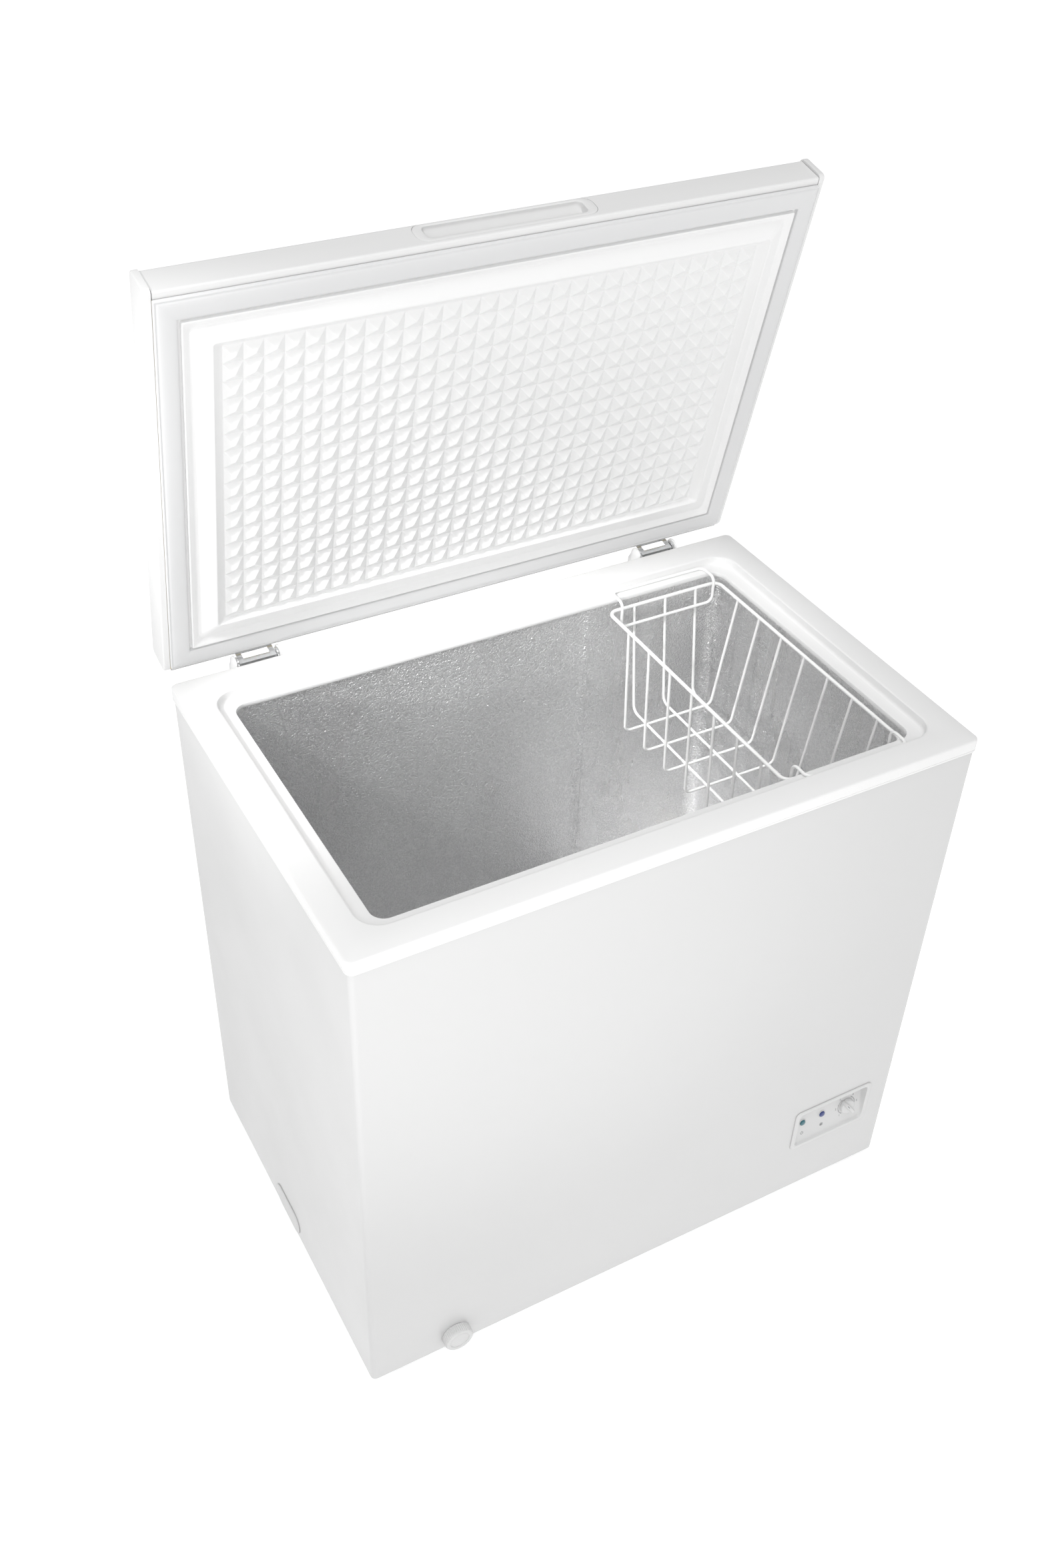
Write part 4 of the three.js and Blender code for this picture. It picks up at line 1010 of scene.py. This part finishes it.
def drain_dial():
    """Round cap of the front drain with a knurled side and a ring pressed into its face."""
    low, high = in_cabinet("drain_dial")
    middle = (low + high) / 2
    place = CAB @ Matrix.Translation((middle.x, high.y, middle.z)) @ Matrix.Rotation(math.pi / 2, 4, "X")
    radius, depth, teeth = (high.x - low.x) / 2, high.y - low.y, 44

    def knurl(angle, r, h):
        notch = 0.5 + 0.5 * math.cos(teeth * angle)
        return r - 0.75 * notch if r > radius - 0.9 and 0.5 < h < depth - 0.8 else r

    profile = [
        (0.4, 0), (radius - 0.2, 0), (radius - 0.1, 0.8), (radius, 1.6), (radius, depth - 2.2),
        (radius - 0.7, depth - 1.3), (radius - 1.5, depth - 0.4), (radius - 2.4, depth),
        (radius - 5.4, depth), (radius - 6.2, depth - 0.3), (radius - 6.6, depth - 1.1),
        (radius - 7.4, depth - 1.3), (radius - 8.2, depth - 0.9), (radius - 9, depth - 0.8),
        (0.4, depth - 0.8),
    ]
    cap = lathe(profile, 8 * teeth, place, knurl)
    finish_mesh("drain_cap", cap, SHADED_UPRIGHT_WHITE, "drain_cap", ("drain_dial",))


# ------------------------------------------------------------------ basket

RIM_WIRE_LOW, RIM_WIRE_HIGH = in_cabinet("basket_rim")
BASKET_Z = (RIM_WIRE_LOW.z + RIM_WIRE_HIGH.z) / 2
RIM_WIRE = (RIM_WIRE_HIGH.z - RIM_WIRE_LOW.z) / 2
BASKET_X = (RIM_WIRE_LOW.x + RIM_WIRE, RIM_WIRE_HIGH.x - RIM_WIRE)
BASKET_Y = (RIM_WIRE_LOW.y + RIM_WIRE, RIM_WIRE_HIGH.y - RIM_WIRE)
THIN_WIRE = 1.9
FLOOR_X = (178.0, 318.0)
FLOOR_INSET = 21.0


def basket():
    """Rim wire, seven wires across, three wires along and a hook loop at each end."""
    x0, x1 = BASKET_X
    y0, y1 = BASKET_Y
    corners = [(x0, y0, BASKET_Z), (x1, y0, BASKET_Z), (x1, y1, BASKET_Z), (x0, y1, BASKET_Z)]
    rim = rounded_path(corners, 12, 8, True)
    finish_mesh("basket_top_wire", sweep(rim, RIM_WIRE, 16, closed=True), WIRE, "basket", ("basket_rim",))
    for i in range(1, 8):
        low, high = in_cabinet(f"basket_cross_wire_{i}")
        y, floor_z = (low.y + high.y) / 2, low.z + THIN_WIRE
        corners = [(x1 - 0.6, y, BASKET_Z), (FLOOR_X[1], y, floor_z), (FLOOR_X[0], y, floor_z),
                   (x0 + 0.6, y, BASKET_Z)]
        wire = sweep(rounded_path(corners, 10), THIN_WIRE)
        finish_mesh(f"basket_u_wire_{i}", wire, WIRE, "basket", (f"basket_cross_wire_{i}",))
    for i in range(1, 4):
        low, high = in_cabinet(f"basket_long_wire_{i}")
        x, floor_z = (low.x + high.x) / 2, low.z + THIN_WIRE
        corners = [(x, y1 - 0.8, BASKET_Z), (x, y1 - FLOOR_INSET, floor_z), (x, y0 + FLOOR_INSET, floor_z),
                   (x, y0 + 0.8, BASKET_Z)]
        wire = sweep(rounded_path(corners, 12), THIN_WIRE)
        finish_mesh(f"basket_run_wire_{i}", wire, WIRE, "basket", (f"basket_long_wire_{i}",))
    for end, side in (("rear", 1), ("front", -1)):
        low, high = in_cabinet(f"basket_hook_{end}")
        r = 2.0
        ya, yb = (low.y + r, high.y - r) if side > 0 else (high.y - r, low.y + r)
        xa, xb, za, zb = low.x + r, high.x - r, low.z + r, high.z - r
        corners = [(xa, ya, za), (xb, ya, za), (xb, ya, zb), (xb, yb, zb), (xa, yb, zb), (xa, ya, zb)]
        wire = sweep(rounded_path(corners, 9, 7, True), r, 14, closed=True)
        finish_mesh(f"basket_handle_{end}", wire, WIRE, "basket", (f"basket_hook_{end}",))


# ------------------------------------------------------------------ stage and light


def stage():
    """A wide pale floor just under the feet."""
    half = 30
    corners = [(-half, -half, 0), (half, -half, 0), (half, half, 0), (-half, half, 0)]
    mesh = bpy.data.meshes.new("floor")
    mesh.from_pydata(corners, [], [(0, 1, 2, 3)])
    floor = bpy.data.objects.new("floor", mesh)
    bpy.context.scene.collection.objects.link(floor)
    made = material("floor_white", (0.93, 0.93, 0.93), 0.9, Emission_Strength=0.4)
    made.node_tree.nodes["Principled BSDF"].inputs["Emission Color"].default_value = (1, 1, 1, 1)
    mesh.materials.append(made)
    floor.location.z = -0.0005


# Soft boxes: name, place, target, size and power. Spots: name, place, target, cone in degrees and power.
SOFT_BOXES = (
    ("key", (-1.3, -1.8, 2.3), (0.0, 0.0, 0.8), (0.9, 0.9), 18),
    ("front", (0.9, -3.2, 1.5), (0.1, 0, 0.9), (2.0, 2.0), 10),
)
SKY = 0.37
OVERHEAD = 1.32
SPOTS = (
    ("snoot", (-1.7, -0.35, 2.3), (0.23, 0.2, 0.46), 15, 310),
    ("edge", (-2.0, -2.3, 1.3), (-0.26, -0.28, 0.7), 20, 98),
)


def aim(lamp, location, target):
    """Puts a lamp in the scene and points it at a target."""
    lamp.location = location
    lamp.rotation_euler = (Vector(target) - Vector(location)).to_track_quat("-Z", "Y").to_euler()
    bpy.context.scene.collection.objects.link(lamp)


def light():
    """White surroundings, soft boxes, a soft overhead light and two narrow spots."""
    world = bpy.data.worlds.new("studio")
    world.use_nodes = True
    world.node_tree.nodes["Background"].inputs["Color"].default_value = (1, 1, 1, 1)
    world.node_tree.nodes["Background"].inputs["Strength"].default_value = SKY
    scene = bpy.context.scene
    scene.world = world
    for name, location, target, size, power in SOFT_BOXES:
        data = bpy.data.lights.new(name, "AREA")
        data.shape = "RECTANGLE"
        data.size, data.size_y = size
        data.energy = power
        aim(bpy.data.objects.new(name, data), location, target)
    sun = bpy.data.lights.new("overhead", "SUN")
    sun.energy = OVERHEAD
    sun.angle = math.radians(50)
    aim(bpy.data.objects.new("overhead", sun), (-0.4, -0.6, 3), (0, 0, 0))
    for name, location, target, cone, power in SPOTS:
        data = bpy.data.lights.new(name, "SPOT")
        data.energy = power
        data.spot_size = math.radians(cone)
        data.spot_blend = 1.0
        data.shadow_soft_size = 0.12
        aim(bpy.data.objects.new(name, data), location, target)
    scene.view_settings.view_transform = "Standard"
    scene.view_settings.look = "None"


# ------------------------------------------------------------------ build everything

cabinet_shell()
top_rim()
liner_wall()
side_cover()
rear_details()
lid_outer_panel()
lid_front_trim()
lid_handle()
lid_side_trims()
lid_liner()
lid_seal()
hinge_screws()
hinge_sleeves()
control_surround()
control_knob()
panel_print()
lamps()
drain_dial()
basket()

refine("liner_floor", STUCCO, "cabinet", 0.4)
refine("rear_grille", BLACK, "cabinet", 0.5)
refine("drain_plug", WHITE, "plug", 0.6)
refine("cord_gland", BLACK, "cabinet", 0.4)
refine("back_panel", ZINC, "cabinet", 0.2)
refine("base_plate", ZINC, "cabinet", 0.2)
for end in ("front", "rear"):
    for side in ("left", "right"):
        refine(f"foot_{end}_{side}", BLACK, "cabinet", 0.5)
for side in ("left", "right"):
    refine(f"hinge_base_{side}", CHROME, "cabinet", 0.35)
    refine(f"hinge_pin_{side}", CHROME, "cabinet", 0.4)
    refine(f"hinge_cover_{side}", WHITE, "cabinet", 0.6)
    refine(f"hinge_arm_{side}", CHROME, "lid", 0.35)

recolor(FOAM, "foam_insulation", "lid_foam")
recolor(ZINC, "compressor_housing")
recolor(COPPER, "evaporator_coil", "condenser_coil", "filter_drier")
recolor(COPPER, "suction_line", "discharge_line", "sensing_tube")
recolor(ENAMEL, "compressor")
recolor(BLACK, "relay_cover", "thermostat")
recolor(WHITE, "drain_tube")

stage()
light()
